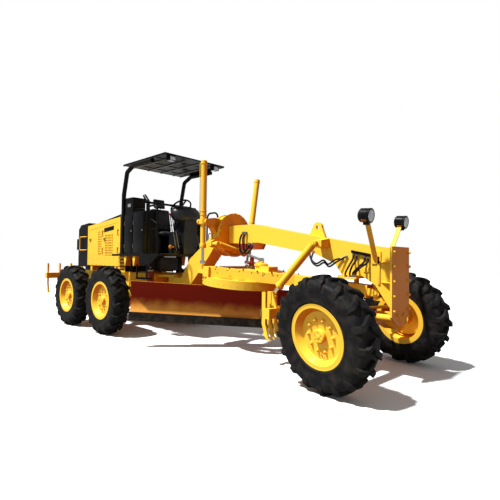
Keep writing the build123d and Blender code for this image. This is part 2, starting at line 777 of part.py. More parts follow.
def make_neck_brackets():
    """Scarifier cylinder mount and scarifier arm lugs on the front frame."""
    x, y, z = SCARIFIER_TRUNNION
    mount = cross_plate(
        ((-NECK_HALF_WIDTH + 5, z - 60), (-NECK_HALF_WIDTH + 5, z + 70), (y + 62, z + 40), (y + 62, z - 40)),
        x - 70,
        x + 70,
    )
    stud = rod((x, y + 70, z), (x, y - 45, z), 25)
    pieces = [mount, stud]
    for side in (-1, 1):
        lug_x = neck_x(BOLSTER_BEHIND)
        pieces.append(
            side_plate(
                (
                    (lug_x + 10, SCARIFIER_PIVOT_Z - 55),
                    (neck_x(SCARIFIER_PIVOT_BEHIND) - 45, SCARIFIER_PIVOT_Z - 45),
                    (neck_x(SCARIFIER_PIVOT_BEHIND) - 45, SCARIFIER_PIVOT_Z + 45),
                    (lug_x + 10, SCARIFIER_PIVOT_Z + 55),
                ),
                min(side * 200, side * 248),
                max(side * 200, side * 248),
            )
        )
        pin_x = neck_x(SCARIFIER_PIVOT_BEHIND)
        pieces.append(rod((pin_x, side * 225, SCARIFIER_PIVOT_Z), (pin_x, side * 305, SCARIFIER_PIVOT_Z), 25))
    return pieces


frame_parts = [make_front_frame(), make_lifting_eye()] + make_neck_brackets()
save(fused(*frame_parts), "front_frame")


# Blade saddle, centre-shift cylinder, drawbar, circle and blade
CENTRE_EYE_RADIUS = 38.0
CENTRE_EYE_GAP = 14.0
CENTRE_EYE_BACK = 35.0
CENTRE_BALL_NEUTRAL = (CIRCLE_X - DRAWBAR_TAIL + CENTRE_BALL_AHEAD, 560, DRAWBAR_TOP + 40)
CENTRE_BALL = pitched_point(CENTRE_BALL_NEUTRAL)
CENTRE_EYE_RISE = BALL_STUD_RADIUS + CENTRE_EYE_GAP + CENTRE_EYE_RADIUS
CENTRE_EYE = CENTRE_BALL + Vector(-CENTRE_EYE_BACK, 0, CENTRE_EYE_RISE)
CENTRE_BARREL = (CENTRE_EYE.X, -500, 1690)
TRUNNION_RADIUS = 28.0
EAR_IN = 80.0
EAR_OUT = 110.0
HOOK_AHEAD = 80.0
SADDLE_RINGS = (
    # rear face, front face, radius
    (-75, -40, 354),
    (-41, 116, 340),
    (115, 150, 368),
)


def make_saddle():
    """Ring round the gooseneck with an arm and two ears for each lift cylinder."""
    mid_z = (NECK_TOP_Z + NECK_BOTTOM_Z) / 2
    hole = (2 * NECK_HALF_WIDTH + 0.6, NECK_TOP_Z - NECK_BOTTOM_Z + 0.6)
    hook = (
        # across, height
        (-250, 1850),
        (-440, 1775),
        (-535, 1725),
        (-535, 1655),
        (-460, 1630),
        (-200, 1640),
    )
    with BuildPart() as saddle:
        for near, far, radius in SADDLE_RINGS:
            with BuildSketch(Plane.YZ.offset(SADDLE_X + near)):
                with Locations((0, mid_z)):
                    Circle(radius)
                    Rectangle(*hole, mode=Mode.SUBTRACT)
            extrude(amount=far - near)
        for side, name, ball_y, y, z in LIFTS:
            reach = abs(y)
            with BuildSketch(Plane.YZ.offset(SADDLE_X - 65)):
                with BuildLine():
                    Polyline(
                        (side * 150, mid_z + 240),
                        (side * (reach - 190), z + 75),
                        (side * (reach - 90), z + 60),
                        (side * (reach - 97), z - 44),
                        (side * (reach - 175), z - 90),
                        (side * 285, mid_z - 60),
                        close=True,
                    )
                make_face()
            extrude(amount=130)
            for x_low in (SADDLE_X - EAR_OUT, SADDLE_X + EAR_IN):
                with BuildSketch(Plane.YZ.offset(x_low)):
                    with Locations((side * (reach - 50), z)):
                        Rectangle(100, 90)
                    with Locations((y, z)):
                        Circle(45)
                        Circle(TRUNNION_RADIUS + SHAFT_GAP, mode=Mode.SUBTRACT)
                extrude(amount=EAR_OUT - EAR_IN)
            with Locations((SADDLE_X, side * (reach - 115), z)):
                Box(2 * EAR_OUT, 50, 90)
        with BuildSketch(Plane.YZ.offset(SADDLE_X + HOOK_AHEAD)):
            with BuildLine():
                Polyline(*hook, close=True)
            make_face()
        extrude(amount=SADDLE_RINGS[-1][1] - HOOK_AHEAD)
        with BuildSketch(Plane.YZ.offset(SADDLE_X + HOOK_AHEAD)):
            with Locations(CENTRE_BARREL[1:]):
                Circle(25)
        extrude(amount=CENTRE_BARREL[0] + 34 - SADDLE_X - HOOK_AHEAD)
    return saddle.part


save(make_saddle(), "blade_saddle")


def cylinder_pair(
    trunnion, eye, barrel_length, barrel_radius, rod_radius, eye_radius, eye_half, axis, stroke=420
):
    """Barrel from a pivot eye, and its rod that ends at an open eye."""
    start, end = Vector(*trunnion), Vector(*eye)
    run = (end - start).normalized()
    step = Vector(*axis).normalized() * eye_half
    tail = start + run * (eye_radius * 0.7)
    tip = start + run * barrel_length
    shell = rod(tuple(tail), tuple(tip), barrel_radius)
    shell = shell + rod(tuple(tip - run * 40), tuple(tip), barrel_radius + 8)
    shell = shell + rod(tuple(start - step), tuple(start + step), eye_radius)
    shell = shell - rod(tuple(start - step * 2), tuple(start + step * 2), 25 + SHAFT_GAP)
    shell = shell - rod(tuple(tail + run * 20), tuple(tip + run), rod_radius + SHAFT_GAP)
    inner = tip - run * min(barrel_length * 0.75, stroke)
    plunger = rod(tuple(inner), tuple(end - run * (eye_radius * 0.7)), rod_radius)
    plunger = plunger + rod(tuple(end - step), tuple(end + step), eye_radius)
    return shell, plunger


scarifier_eye = (neck_x(1276), -SCARIFIER_CYLINDER_Y, 960)
shell, plunger = cylinder_pair(SCARIFIER_TRUNNION, scarifier_eye, 820, 50, 22, 42, 30, (0, 1, 0))
save(shell, "scarifier_barrel")
save(plunger, "scarifier_rod")


def make_draw_ball():
    """Cross block of the drawbar's front joint."""
    with BuildPart() as cross:
        with Locations(BALL):
            Box(84, 100, 109.4)
        with BuildSketch(Plane.XZ.offset(-95)):
            with Locations((BALL[0], BALL[2])):
                Circle(25)
        extrude(amount=190)
        with BuildSketch(Plane.XY.offset(BALL_Z - 60)):
            with Locations(BALL[:2]):
                Circle(25 + SHAFT_GAP)
        extrude(amount=120, mode=Mode.SUBTRACT)
    return cross.part


save(make_draw_ball(), "draw_ball")


def make_drawbar():
    """Forked tongue, spreading beams, cross beams, circle shoes and gearbox."""
    tongue_end = BALL[0] - 1350
    rear_x = CIRCLE_X - DRAWBAR_TAIL
    lift_x = BALL[0] - LIFT_BALL_BEHIND
    shelf_top = BALL_Z + LIFT_BALL_RISE - 50
    studs = [make_ball_stud(CENTRE_BALL_NEUTRAL, DRAWBAR_TOP + 7)]
    for side, name, ball_y, y, z in LIFTS:
        studs.append(make_ball_stud((lift_x, ball_y, BALL_Z + LIFT_BALL_RISE), shelf_top - 1))
    with BuildPart() as bar:
        for side in (-1, 1):
            with BuildSketch(Plane.XZ.offset(-max(side * 52, side * 82))):
                with Locations((BALL[0], BALL_Z)):
                    Circle(50)
                with Locations((BALL[0] - 70, BALL_Z)):
                    Rectangle(140, 90)
                with Locations((BALL[0], BALL_Z)):
                    Circle(25 + SHAFT_GAP, mode=Mode.SUBTRACT)
            extrude(amount=30)
        add(block(tongue_end - 60, BALL[0] - 110, -90, 90, DRAWBAR_BOTTOM, DRAWBAR_TOP))
        for side in (-1, 1):
            with BuildSketch(Plane.XY.offset(DRAWBAR_BOTTOM)):
                with BuildLine():
                    Polyline(
                        (tongue_end + 120, side * 88),
                        (rear_x + 150, side * 610),
                        (rear_x, side * 650),
                        (rear_x, side * 500),
                        (rear_x + 130, side * 470),
                        (tongue_end - 60, 0),
                        (tongue_end + 120, 0),
                        close=True,
                    )
                make_face()
            extrude(amount=2 * DRAWBAR_HALF_DEPTH)
        add(block(rear_x, rear_x + 130, -650, 650, DRAWBAR_BOTTOM, DRAWBAR_TOP))
        add(block(CIRCLE_X + 180, CIRCLE_X + 300, -420, 420, DRAWBAR_BOTTOM, DRAWBAR_TOP))
        for x, y in ((rear_x + 70, 450), (rear_x + 70, -450), (CIRCLE_X + 240, 400), (CIRCLE_X + 240, -400)):
            add(make_circle_shoe(x, y))
        add(block(CIRCLE_X + 300, CIRCLE_X + 660, -290, 290, DRAWBAR_TOP - 50, DRAWBAR_TOP))
        add(block(CIRCLE_X + 340, CIRCLE_X + 620, -110, 110, DRAWBAR_TOP - 5, DRAWBAR_TOP + 70))
        for side, name, ball_y, y, z in LIFTS:
            add(block(lift_x - 50, rear_x + 5, ball_y - 55, ball_y + 55, shelf_top - 60, shelf_top))
        centre_x, centre_y, centre_z = CENTRE_BALL_NEUTRAL
        near_y, far_y = centre_y - 90, centre_y + 20
        add(block(centre_x - 60, centre_x + 60, near_y, far_y, DRAWBAR_TOP - 1, DRAWBAR_TOP + 8))
        for stud in studs:
            add(stud)
    return bar.part


def make_ball_stud(centre, foot_z):
    """Ball on a short post, for a cylinder's foot."""
    post = rod((centre[0], centre[1], foot_z), centre, BALL_STUD_RADIUS * 0.6)
    return fused(post, Sphere(BALL_STUD_RADIUS).moved(Location(centre)))


def make_circle_shoe(x, y):
    """Hooked shoe that carries the circle's inner flange at one place."""
    angle = degrees(atan2(y, x - CIRCLE_X))
    inner = CIRCLE_INNER_RADIUS - 2
    lip_top = RING_TOP - CIRCLE_FLANGE - SLIDE_GAP
    outline = (
        # out from the centre, height
        (inner - 60, DRAWBAR_BOTTOM + 2),
        (inner, DRAWBAR_BOTTOM + 2),
        (inner, lip_top),
        (inner + 55, lip_top),
        (inner + 55, lip_top - 34),
        (inner - 60, lip_top - 34),
    )
    with BuildPart() as shoe:
        with BuildSketch(Plane.XZ.offset(-45)):
            with BuildLine():
                Polyline(*outline, close=True)
            make_face()
        extrude(amount=90)
    return shoe.part.rotate(Axis.Z, angle).moved(Location((CIRCLE_X, 0, 0)))


save(pitched(make_drawbar()), "drawbar")


def make_circle_ring():
    """Circle band with its inner flange, and two arms down to the tilt pins."""
    with BuildPart() as ring:
        with BuildSketch(Plane.XY.offset(RING_BOTTOM)):
            with Locations((CIRCLE_X, 0)):
                Circle(CIRCLE_RADIUS)
                Circle(CIRCLE_RADIUS - CIRCLE_BAND, mode=Mode.SUBTRACT)
        extrude(amount=CIRCLE_HEIGHT)
        with BuildSketch(Plane.XY.offset(RING_TOP - CIRCLE_FLANGE)):
            with Locations((CIRCLE_X, 0)):
                Circle(CIRCLE_RADIUS - CIRCLE_BAND + 1)
                Circle(CIRCLE_INNER_RADIUS, mode=Mode.SUBTRACT)
        extrude(amount=CIRCLE_FLANGE)
        with BuildSketch(Plane.XY.offset(RING_BOTTOM - 30)):
            with Locations((CIRCLE_X, 0)):
                Circle(CIRCLE_RADIUS)
                Circle(CIRCLE_RADIUS - 150, mode=Mode.SUBTRACT)
            with Locations((CIRCLE_X - 330, 0)):
                Rectangle(360, 2 * ARM_SPACING + 180, mode=Mode.INTERSECT)
        extrude(amount=30.5)
        pin_z = TILT_PIN_Z
        pin_x = CIRCLE_X - TILT_PIN_BACK
        for side in (-1, 1):
            low, high = sorted((side * ARM_SPACING, side * (ARM_SPACING + ARM_PLATE)))
            outline = (
                (CIRCLE_X - 470, RING_BOTTOM - 5),
                (CIRCLE_X - 200, RING_BOTTOM - 5),
                (pin_x + 20, pin_z + 330),
                (pin_x + 60, pin_z),
                (pin_x + 30, pin_z - 50),
                (pin_x - 40, pin_z - 50),
                (pin_x - 90, pin_z + 20),
                (pin_x - 180, pin_z + 260),
            )
            add(side_plate(outline, low, high))
            with BuildSketch(Plane.XZ.offset(-high - 1)):
                with Locations((pin_x, pin_z)):
                    Circle(TILT_PIN_RADIUS + SHAFT_GAP)
            extrude(amount=ARM_PLATE + 2, mode=Mode.SUBTRACT)
    return ring.part


BLADE_TOP = RING_BOTTOM - BLADE_DROP
BLADE_BOTTOM = BLADE_TOP - BLADE_HEIGHT
BLADE_MID = (BLADE_TOP + BLADE_BOTTOM) / 2
TILT_PIN_Z = BLADE_MID - 170
CHORD_X = CIRCLE_X + BLADE_AHEAD
RAIL_BACK = CHORD_X - 158

save(circled(make_circle_ring()), "circle_ring")


def make_carriage():
    """Blade carriage: cheeks on the tilt pins, shoes round the rails, cross tube."""
    pin_x = CIRCLE_X - TILT_PIN_BACK
    pieces = []
    for side in (-1, 1):
        cheek_low, cheek_high = sorted((side * (ARM_SPACING - SLIDE_GAP), side * (ARM_SPACING - 60)))
        top, bottom = BLADE_MID + RAIL_RISE, BLADE_MID - RAIL_RISE
        lip = RAIL_HALF_HEIGHT + SLIDE_GAP
        back = RAIL_BACK - SLIDE_GAP
        web_front = CHORD_X - BLADE_SAG - BLADE_PLATE - 8
        lip_front = CHORD_X - 102
        outline = (
            # along, height
            (pin_x - 45, TILT_PIN_Z - 45),
            (lip_front, TILT_PIN_Z - 45),
            (lip_front, bottom - lip),
            (back, bottom - lip),
            (back, bottom + lip),
            (web_front, bottom + lip),
            (web_front, top - lip),
            (back, top - lip),
            (back, top + lip),
            (lip_front, top + lip),
            (lip_front, top + 62),
            (back - 30, top + 62),
            (pin_x - 45, TILT_PIN_Z + 120),
        )
        pieces.append(side_plate(outline, cheek_low, cheek_high))
        pin_low, pin_high = sorted((side * (ARM_SPACING - 30), side * (ARM_SPACING + ARM_PLATE + 12)))
        pieces.append(rod((pin_x, pin_low, TILT_PIN_Z), (pin_x, pin_high, TILT_PIN_Z), TILT_PIN_RADIUS))
    tube_x, tube_z = back - 40, BLADE_MID
    pieces.append(rod((tube_x, -ARM_SPACING + 40, tube_z), (tube_x, ARM_SPACING - 40, tube_z), 36))
    return fused(*pieces)


def make_mouldboard():
    """Curved blade plate with its two slide rails and end plates."""
    half = BLADE_HEIGHT / 2
    curve = (half ** 2 + BLADE_SAG ** 2) / (2 * BLADE_SAG)
    with BuildPart() as board:
        with BuildSketch(Plane.XZ.offset(-BLADE_SHIFT - BLADE_LENGTH / 2)):
            with BuildLine():
                ThreePointArc((CHORD_X, BLADE_BOTTOM), (CHORD_X - BLADE_SAG, BLADE_MID), (CHORD_X, BLADE_TOP))
                Line((CHORD_X, BLADE_TOP), (CHORD_X - BLADE_PLATE, BLADE_TOP))
                ThreePointArc(
                    (CHORD_X - BLADE_PLATE, BLADE_TOP),
                    (CHORD_X - BLADE_SAG - BLADE_PLATE, BLADE_MID),
                    (CHORD_X - BLADE_PLATE, BLADE_BOTTOM),
                )
                Line((CHORD_X - BLADE_PLATE, BLADE_BOTTOM), (CHORD_X, BLADE_BOTTOM))
            make_face()
        extrude(amount=BLADE_LENGTH)
        for rise in (-RAIL_RISE, RAIL_RISE):
            depth_here = curve - sqrt(curve ** 2 - rise ** 2)
            front = CHORD_X - BLADE_SAG + depth_here - BLADE_PLATE / 2
            z = BLADE_MID + rise
            add(block(RAIL_BACK, front, BLADE_SHIFT - RAIL_LENGTH / 2, BLADE_SHIFT + RAIL_LENGTH / 2,
                      z - RAIL_HALF_HEIGHT, z + RAIL_HALF_HEIGHT))
    return board.part


def make_cutting_edge():
    """Flat cutting edge against the blade's lower front."""
    low = BLADE_SHIFT - BLADE_LENGTH / 2
    return block(CHORD_X + SLIDE_GAP, CHORD_X + EDGE_THICK, low, low + BLADE_LENGTH,
                 BLADE_BOTTOM - 25, BLADE_BOTTOM + EDGE_HEIGHT - 25)


save(circled(make_carriage()), "blade_carriage")
save(circled(make_mouldboard()), "mouldboard")
save(circled(make_cutting_edge()), "cutting_edge")

def make_lift_barrel(x, y, z):
    """Upright lift barrel with its collar and trunnion shafts."""
    with BuildPart() as barrel:
        with BuildSketch(Plane.XY.offset(z)):
            with Locations((x, y)):
                Circle(LIFT_BARREL_RADIUS)
        extrude(amount=LIFT_TOP_LENGTH)
        with BuildSketch(Plane.XY.offset(z - LIFT_FOOT_LENGTH)):
            with Locations((x, y)):
                Circle(LIFT_BARREL_RADIUS - 7)
        extrude(amount=LIFT_FOOT_LENGTH)
        with BuildSketch(Plane.XY.offset(z - LIFT_FOOT_LENGTH)):
            with Locations((x, y)):
                Circle(LIFT_BARREL_RADIUS)
        extrude(amount=45)
        with BuildSketch(Plane.XY.offset(z - 38)):
            with Locations((x, y)):
                Circle(LIFT_BARREL_RADIUS + 20)
        extrude(amount=76)
        with BuildSketch(Plane.YZ.offset(x - EAR_OUT)):
            with Locations((y, z)):
                Circle(TRUNNION_RADIUS)
        extrude(amount=2 * EAR_OUT)
        with BuildSketch(Plane.XY.offset(z - LIFT_FOOT_LENGTH)):
            with Locations((x, y)):
                Circle(LIFT_ROD_RADIUS + SHAFT_GAP)
        extrude(amount=LIFT_FOOT_LENGTH + LIFT_TOP_LENGTH - 60, mode=Mode.SUBTRACT)
    return barrel.part


def lift_ball(ball_y):
    """Centre of a lift cylinder's ball, as it rests."""
    return pitched_point((BALL[0] - LIFT_BALL_BEHIND, ball_y, BALL_Z + LIFT_BALL_RISE))


# Lift cylinders are drawn upright, then leaned about the trunnion towards the ball
for side, name, ball_y, y, z in LIFTS:
    ball = lift_ball(ball_y)
    lean = degrees(atan2(ball.Y - y, z - ball.Z))
    length = Vector(0, ball.Y - y, ball.Z - z).length
    cap_z = z - length + BALL_STUD_RADIUS + BALL_CAP_GAP
    rod_top = z - LIFT_FOOT_LENGTH + LIFT_ROD_INSIDE
    plunger = rod((ball.X, y, cap_z + 10), (ball.X, y, rod_top), LIFT_ROD_RADIUS)
    cap = rod((ball.X, y, cap_z), (ball.X, y, cap_z + BALL_CAP_HEIGHT), BALL_CAP_RADIUS)
    trunnion = (ball.X, y, z)
    save(turned(make_lift_barrel(ball.X, y, z), trunnion, (1, 0, 0), lean), f"lift_barrel_{name}")
    save(turned(fused(plunger, cap), trunnion, (1, 0, 0), lean), f"lift_rod_{name}")

shell, plunger = cylinder_pair(
    CENTRE_BARREL, tuple(CENTRE_EYE), 640, 46, 22, CENTRE_EYE_RADIUS, 28, (1, 0, 0), stroke=340
)
save(shell, "centre_shift_barrel")
save(plunger, "centre_shift_rod")


# Rear frame, tandems and drive line
FRAME_HALF_WIDTH = 380.0
FRAME_TOP_Z = 1160.0
FRAME_BOTTOM_Z = 860.0
FRAME_FRONT_BEHIND = 4330.0
FRAME_REAR_BEHIND = 7330.0
TANDEM_CASE_IN = 600.0
TANDEM_CASE_OUT = 800.0
TANDEM_PIVOT_Z = 700.0
TANDEM_PIVOT_RADIUS = 110.0


RIPPER_PIVOT_OUT = 90.0
RIPPER_PIVOT_RADIUS = 28.0
RIPPER_BEAM_PIN_RADIUS = 24.0
RIPPER_PIVOT = (neck_x(FRAME_REAR_BEHIND) - RIPPER_PIVOT_OUT, 0, 850)
RIPPER_ARM_LENGTH = 690.0
RIPPER_ARM_RISE = 12.5
RIPPER_ARM_END = 45.0
RIPPER_TRUNNION = (RIPPER_PIVOT[0] + 40, 0, RIPPER_PIVOT[2] + 520)
RIPPER_EYE = (RIPPER_PIVOT[0] - 220, 0, RIPPER_PIVOT[2] + 155)
RIPPER_CHEEK_IN = 54.0
RIPPER_CHEEK = 20.0
RIPPER_BEAM_HALF_WIDTH = 950.0

def make_rear_frame():
    """Box frame with the hitch fork, axle housing and ripper lugs."""
    front, rear = neck_x(FRAME_FRONT_BEHIND), neck_x(FRAME_REAR_BEHIND)
    rail = 90
    with BuildPart() as frame:
        for side in (-1, 1):
            low, high = sorted((side * FRAME_HALF_WIDTH, side * (FRAME_HALF_WIDTH - rail)))
            add(block(rear, front, low, high, FRAME_BOTTOM_Z, FRAME_TOP_Z))
        for x in (front - 90, neck_x(5100), neck_x(6300), rear):
            add(block(x, x + 90, -FRAME_HALF_WIDTH, FRAME_HALF_WIDTH, FRAME_BOTTOM_Z, FRAME_TOP_Z))
        for z in (HITCH_TOP_Z + SLIDE_GAP, HITCH_BOTTOM_Z - SLIDE_GAP - HITCH_PLATE):
            with BuildSketch(Plane.XY.offset(z)):
                with Locations((HITCH_X, 0)):
                    Circle(150)
                with BuildLine():
                    Polyline(
                        (HITCH_X, -150),
                        (HITCH_X, 150),
                        (front - 60, FRAME_HALF_WIDTH),
                        (front - 60, -FRAME_HALF_WIDTH),
                        close=True,
                    )
                make_face()
            extrude(amount=HITCH_PLATE)
        add(block(front - 90, front, -FRAME_HALF_WIDTH, FRAME_HALF_WIDTH,
                  HITCH_BOTTOM_Z - SLIDE_GAP - HITCH_PLATE, FRAME_TOP_Z))
        with BuildSketch(Plane.XY.offset(HITCH_BOTTOM_Z - SLIDE_GAP - HITCH_PLATE - 15)):
            with Locations((HITCH_X, 0)):
                Circle(HITCH_PIN_RADIUS)
        extrude(amount=HITCH_TOP_Z - HITCH_BOTTOM_Z + 2 * HITCH_PLATE + 30)
        with BuildSketch(Plane.XZ.offset(-TANDEM_CASE_OUT + 12)):
            with Locations((TANDEM_X, TANDEM_PIVOT_Z)):
                Circle(TANDEM_PIVOT_RADIUS)
        extrude(amount=2 * (TANDEM_CASE_OUT - 12))
        with BuildSketch(Plane.XZ.offset(-TANDEM_CASE_IN + 5)):
            with Locations((TANDEM_X, TANDEM_PIVOT_Z)):
                Circle(165)
        extrude(amount=2 * (TANDEM_CASE_IN - 5))
        add(block(TANDEM_X - 240, TANDEM_X + 240, -290, 290, TANDEM_PIVOT_Z - 190, FRAME_BOTTOM_Z + 20))
        for side in (-1, 1):
            low, high = sorted((side * 330, side * 370))
            add(side_plate(
                (
                    (rear + 5, 1150),
                    (rear - 40, 1150),
                    (RIPPER_PIVOT[0] - 45, RIPPER_PIVOT[2] + 45),
                    (RIPPER_PIVOT[0] - 45, RIPPER_PIVOT[2] - 45),
                    (rear + 5, RIPPER_PIVOT[2] - 45),
                    (rear + 60, FRAME_BOTTOM_Z + 5),
                    (rear + 60, 1150),
                ),
                low,
                high,
            ))
            pivot_x, pivot_z = RIPPER_PIVOT[0], RIPPER_PIVOT[2]
            add(rod((pivot_x, side * 330, pivot_z), (pivot_x, side * 440, pivot_z), RIPPER_PIVOT_RADIUS))
            low, high = sorted((side * RIPPER_CHEEK_IN, side * (RIPPER_CHEEK_IN + RIPPER_CHEEK)))
            trunnion_x, trunnion_z = RIPPER_TRUNNION[0], RIPPER_TRUNNION[2]
            add(side_plate(
                (
                    (rear + 5, 1150),
                    (rear - 8, 1190),
                    (rear - 8, trunnion_z + 45),
                    (trunnion_x - 45, trunnion_z + 45),
                    (trunnion_x - 45, trunnion_z - 45),
                    (rear - 30, 1000),
                    (rear + 5, 960),
                ),
                low,
                high,
            ))
        trunnion_x, trunnion_z = RIPPER_TRUNNION[0], RIPPER_TRUNNION[2]
        across = RIPPER_CHEEK_IN + 5
        add(rod((trunnion_x, -across, trunnion_z), (trunnion_x, across, trunnion_z), 25))
    return frame.part


save(make_rear_frame(), "rear_frame")


def make_tandem_case():
    """Right chain case between its two wheels, with their spindles."""
    half = TANDEM_SPACING / 2
    outline = (
        (TANDEM_X + half + 190, TYRE_RADIUS + 60),
        (TANDEM_X + half + 110, TYRE_RADIUS + 175),
        (TANDEM_X + 260, TYRE_RADIUS + 240),
        (TANDEM_X - 260, TYRE_RADIUS + 240),
        (TANDEM_X - half - 110, TYRE_RADIUS + 175),
        (TANDEM_X - half - 190, TYRE_RADIUS + 60),
        (TANDEM_X - half - 190, TYRE_RADIUS - 90),
        (TANDEM_X - half - 110, TYRE_RADIUS - 175),
        (TANDEM_X + half + 110, TYRE_RADIUS - 175),
        (TANDEM_X + half + 190, TYRE_RADIUS - 90),
    )
    with BuildPart() as case:
        add(side_plate(outline, -TANDEM_CASE_OUT, -TANDEM_CASE_IN))
        for offset in (-half, half):
            with BuildSketch(Plane.XZ.offset(TANDEM_CASE_OUT)):
                with Locations((TANDEM_X + offset, TYRE_RADIUS)):
                    Circle(150)
            extrude(amount=60)
            with BuildSketch(Plane.XZ.offset(TANDEM_CASE_OUT)):
                with Locations((TANDEM_X + offset, TYRE_RADIUS)):
                    Circle(SPINDLE_RADIUS)
            extrude(amount=WHEEL_Y - TANDEM_CASE_OUT + SPINDLE_END - SLIDE_GAP)
        with BuildSketch(Plane.XZ.offset(TANDEM_CASE_IN)):
            with Locations((TANDEM_X, TANDEM_PIVOT_Z)):
                Circle(TANDEM_PIVOT_RADIUS + SHAFT_GAP)
        extrude(amount=TANDEM_CASE_OUT - TANDEM_CASE_IN, mode=Mode.SUBTRACT)
    return case.part


for side, name in SIDES:
    save(mirrored(make_tandem_case(), side), f"tandem_case_{name}")


# Engine hood, doors, radiator housing and what stands on them
HOOD_HALF_WIDTH = 550.0
HOOD_WALL = 30.0
HOOD_FRONT_BEHIND = 5300.0
HOOD_REAR_BEHIND = 6790.0
HOOD_BOTTOM_Z = 1280.0
HOOD_TOP_FRONT_Z = 2310.0
HOOD_TOP_REAR_Z = 2185.0
DOOR_BOTTOM_Z = 1500.0
DOOR_EDGES = (5400.0, 6030.0, 6070.0, 6710.0)
DOOR_TOP_DROP = 110.0
DOOR_GAP = 1.5
DOOR_TOP_GAP = 7.0
AIR_HOLE = 34.0
AIR_HOLE_STEP = 60.0
AIR_FIELDS = (
    # distance behind the axle, middle height, step upwards, columns, rows
    (5782.0, 1720.0, 54.0, 6, 9),
    (6195.0, 1780.0, 54.0, 3, 10),
)
HINGE_OUT = 10.5
HINGE_PIN_RADIUS = 6.0
HINGE_RADIUS = 10.0
HINGE_HALF_HEIGHT = 40.0
HINGE_HEIGHTS = (1620.0, 2000.0)
RADIATOR_REAR_BEHIND = 7330.0


def hood_top(behind):
    """Height of the hood's side edge at a distance behind the front axle."""
    share = (behind - HOOD_FRONT_BEHIND) / (HOOD_REAR_BEHIND - HOOD_FRONT_BEHIND)
    return HOOD_TOP_FRONT_Z + share * (HOOD_TOP_REAR_Z - HOOD_TOP_FRONT_Z)


def door_outline(near, far, gap=0.0, top_gap=0.0):
    """Outline in X and Z of a door, or of its opening when it has gaps."""
    return (
        (neck_x(near) + gap, DOOR_BOTTOM_Z - gap),
        (neck_x(far) - gap, DOOR_BOTTOM_Z - gap),
        (neck_x(far) - gap, hood_top(far) - DOOR_TOP_DROP + top_gap),
        (neck_x(near) + gap, hood_top(near) - DOOR_TOP_DROP + top_gap),
    )


def make_hood():
    """Hollow hood open at the bottom, with two door openings on each side."""
    front, rear = neck_x(HOOD_FRONT_BEHIND), neck_x(HOOD_REAR_BEHIND)
    outer = (
        (front, HOOD_BOTTOM_Z),
        (rear, HOOD_BOTTOM_Z),
        (rear, HOOD_TOP_REAR_Z),
        (front, HOOD_TOP_FRONT_Z),
    )
    inner = (
        (front - HOOD_WALL, HOOD_BOTTOM_Z - 1),
        (rear + HOOD_WALL, HOOD_BOTTOM_Z - 1),
        (rear + HOOD_WALL, HOOD_TOP_REAR_Z - HOOD_WALL),
        (front - HOOD_WALL, HOOD_TOP_FRONT_Z - HOOD_WALL),
    )
    shell = side_plate(outer, -HOOD_HALF_WIDTH, HOOD_HALF_WIDTH)
    shell = shell - side_plate(inner, -HOOD_HALF_WIDTH + HOOD_WALL, HOOD_HALF_WIDTH - HOOD_WALL)
    for near, far in (DOOR_EDGES[:2], DOOR_EDGES[2:]):
        opening = door_outline(near, far, DOOR_GAP, DOOR_TOP_GAP)
        shell = shell - side_plate(opening, -HOOD_HALF_WIDTH - 1, HOOD_HALF_WIDTH + 1)
    hatch = (
        (neck_x(5450), hood_top(5450) - 5),
        (neck_x(6600), hood_top(6600) - 5),
        (neck_x(6560), hood_top(6600) + 60),
        (neck_x(5550), hood_top(5450) + 75),
    )
    shell = shell + side_plate(hatch, -400, 400)
    for near in DOOR_EDGES[::2]:
        x, y = neck_x(near) + DOOR_GAP / 2, -HOOD_HALF_WIDTH - HINGE_OUT
        for z in HINGE_HEIGHTS:
            reach = HINGE_HALF_HEIGHT + 15
            pin = rod((x, y, z - reach), (x, y, z + reach), HINGE_PIN_RADIUS)
            for z_low in (z - HINGE_HALF_HEIGHT - 20, z + HINGE_HALF_HEIGHT + SLIDE_GAP):
                knob = rod((x, y, z_low), (x, y, z_low + 20 - SLIDE_GAP), HINGE_RADIUS)
                tab = block(x + 1, x + 28, y - 5, y + HINGE_OUT + 1, z_low, z_low + 20 - SLIDE_GAP)
                pin = fused(pin, knob, tab)
            shell = shell + pin + mirror(pin, about=Plane.XZ)
    for side in (-1, 1):
        low, high = sorted((side * (FRAME_HALF_WIDTH - 60), side * (HOOD_HALF_WIDTH - 10)))
        for behind in (5500, 6600):
            foot = block(neck_x(behind) - 40, neck_x(behind) + 40, low, high, FRAME_TOP_Z, HOOD_BOTTOM_Z + 20)
            shell = shell + foot
    return shell


save(make_hood(), "engine_hood")


def make_door(near, far, behind, z_mid, step, columns, rows):
    """Right-hand hood door with a latch and a field of air holes, closed."""
    with BuildPart() as holes:
        with BuildSketch(Plane.XZ.offset(HOOD_HALF_WIDTH + 1)):
            with Locations((neck_x(behind), z_mid)):
                with GridLocations(AIR_HOLE_STEP, step, columns, rows):
                    Rectangle(AIR_HOLE, AIR_HOLE)
        extrude(amount=-(HOOD_WALL + 2))
    panel = side_plate(door_outline(near, far), -HOOD_HALF_WIDTH, -HOOD_HALF_WIDTH + HOOD_WALL)
    panel = panel - holes.part
    latch_x = neck_x(far) + 60
    latch = block(latch_x - 35, latch_x + 35, -HOOD_HALF_WIDTH - 12, -HOOD_HALF_WIDTH + 1, 1830, 1900)
    door = panel + latch
    x, y = neck_x(near) + DOOR_GAP / 2, -HOOD_HALF_WIDTH - HINGE_OUT
    for z in HINGE_HEIGHTS:
        low, high = z - HINGE_HALF_HEIGHT, z + HINGE_HALF_HEIGHT
        strap = block(x - 45, x, y - 5, y + 5, low, high)
        foot = block(x - 45, x - 12, y - 5, y + HINGE_OUT + 1, low, high)
        door = fused(door, rod((x, y, low), (x, y, high), HINGE_RADIUS), strap + foot)
        door = door - rod((x, y, low - 1), (x, y, high + 1), HINGE_PIN_RADIUS + SHAFT_GAP)
    return door


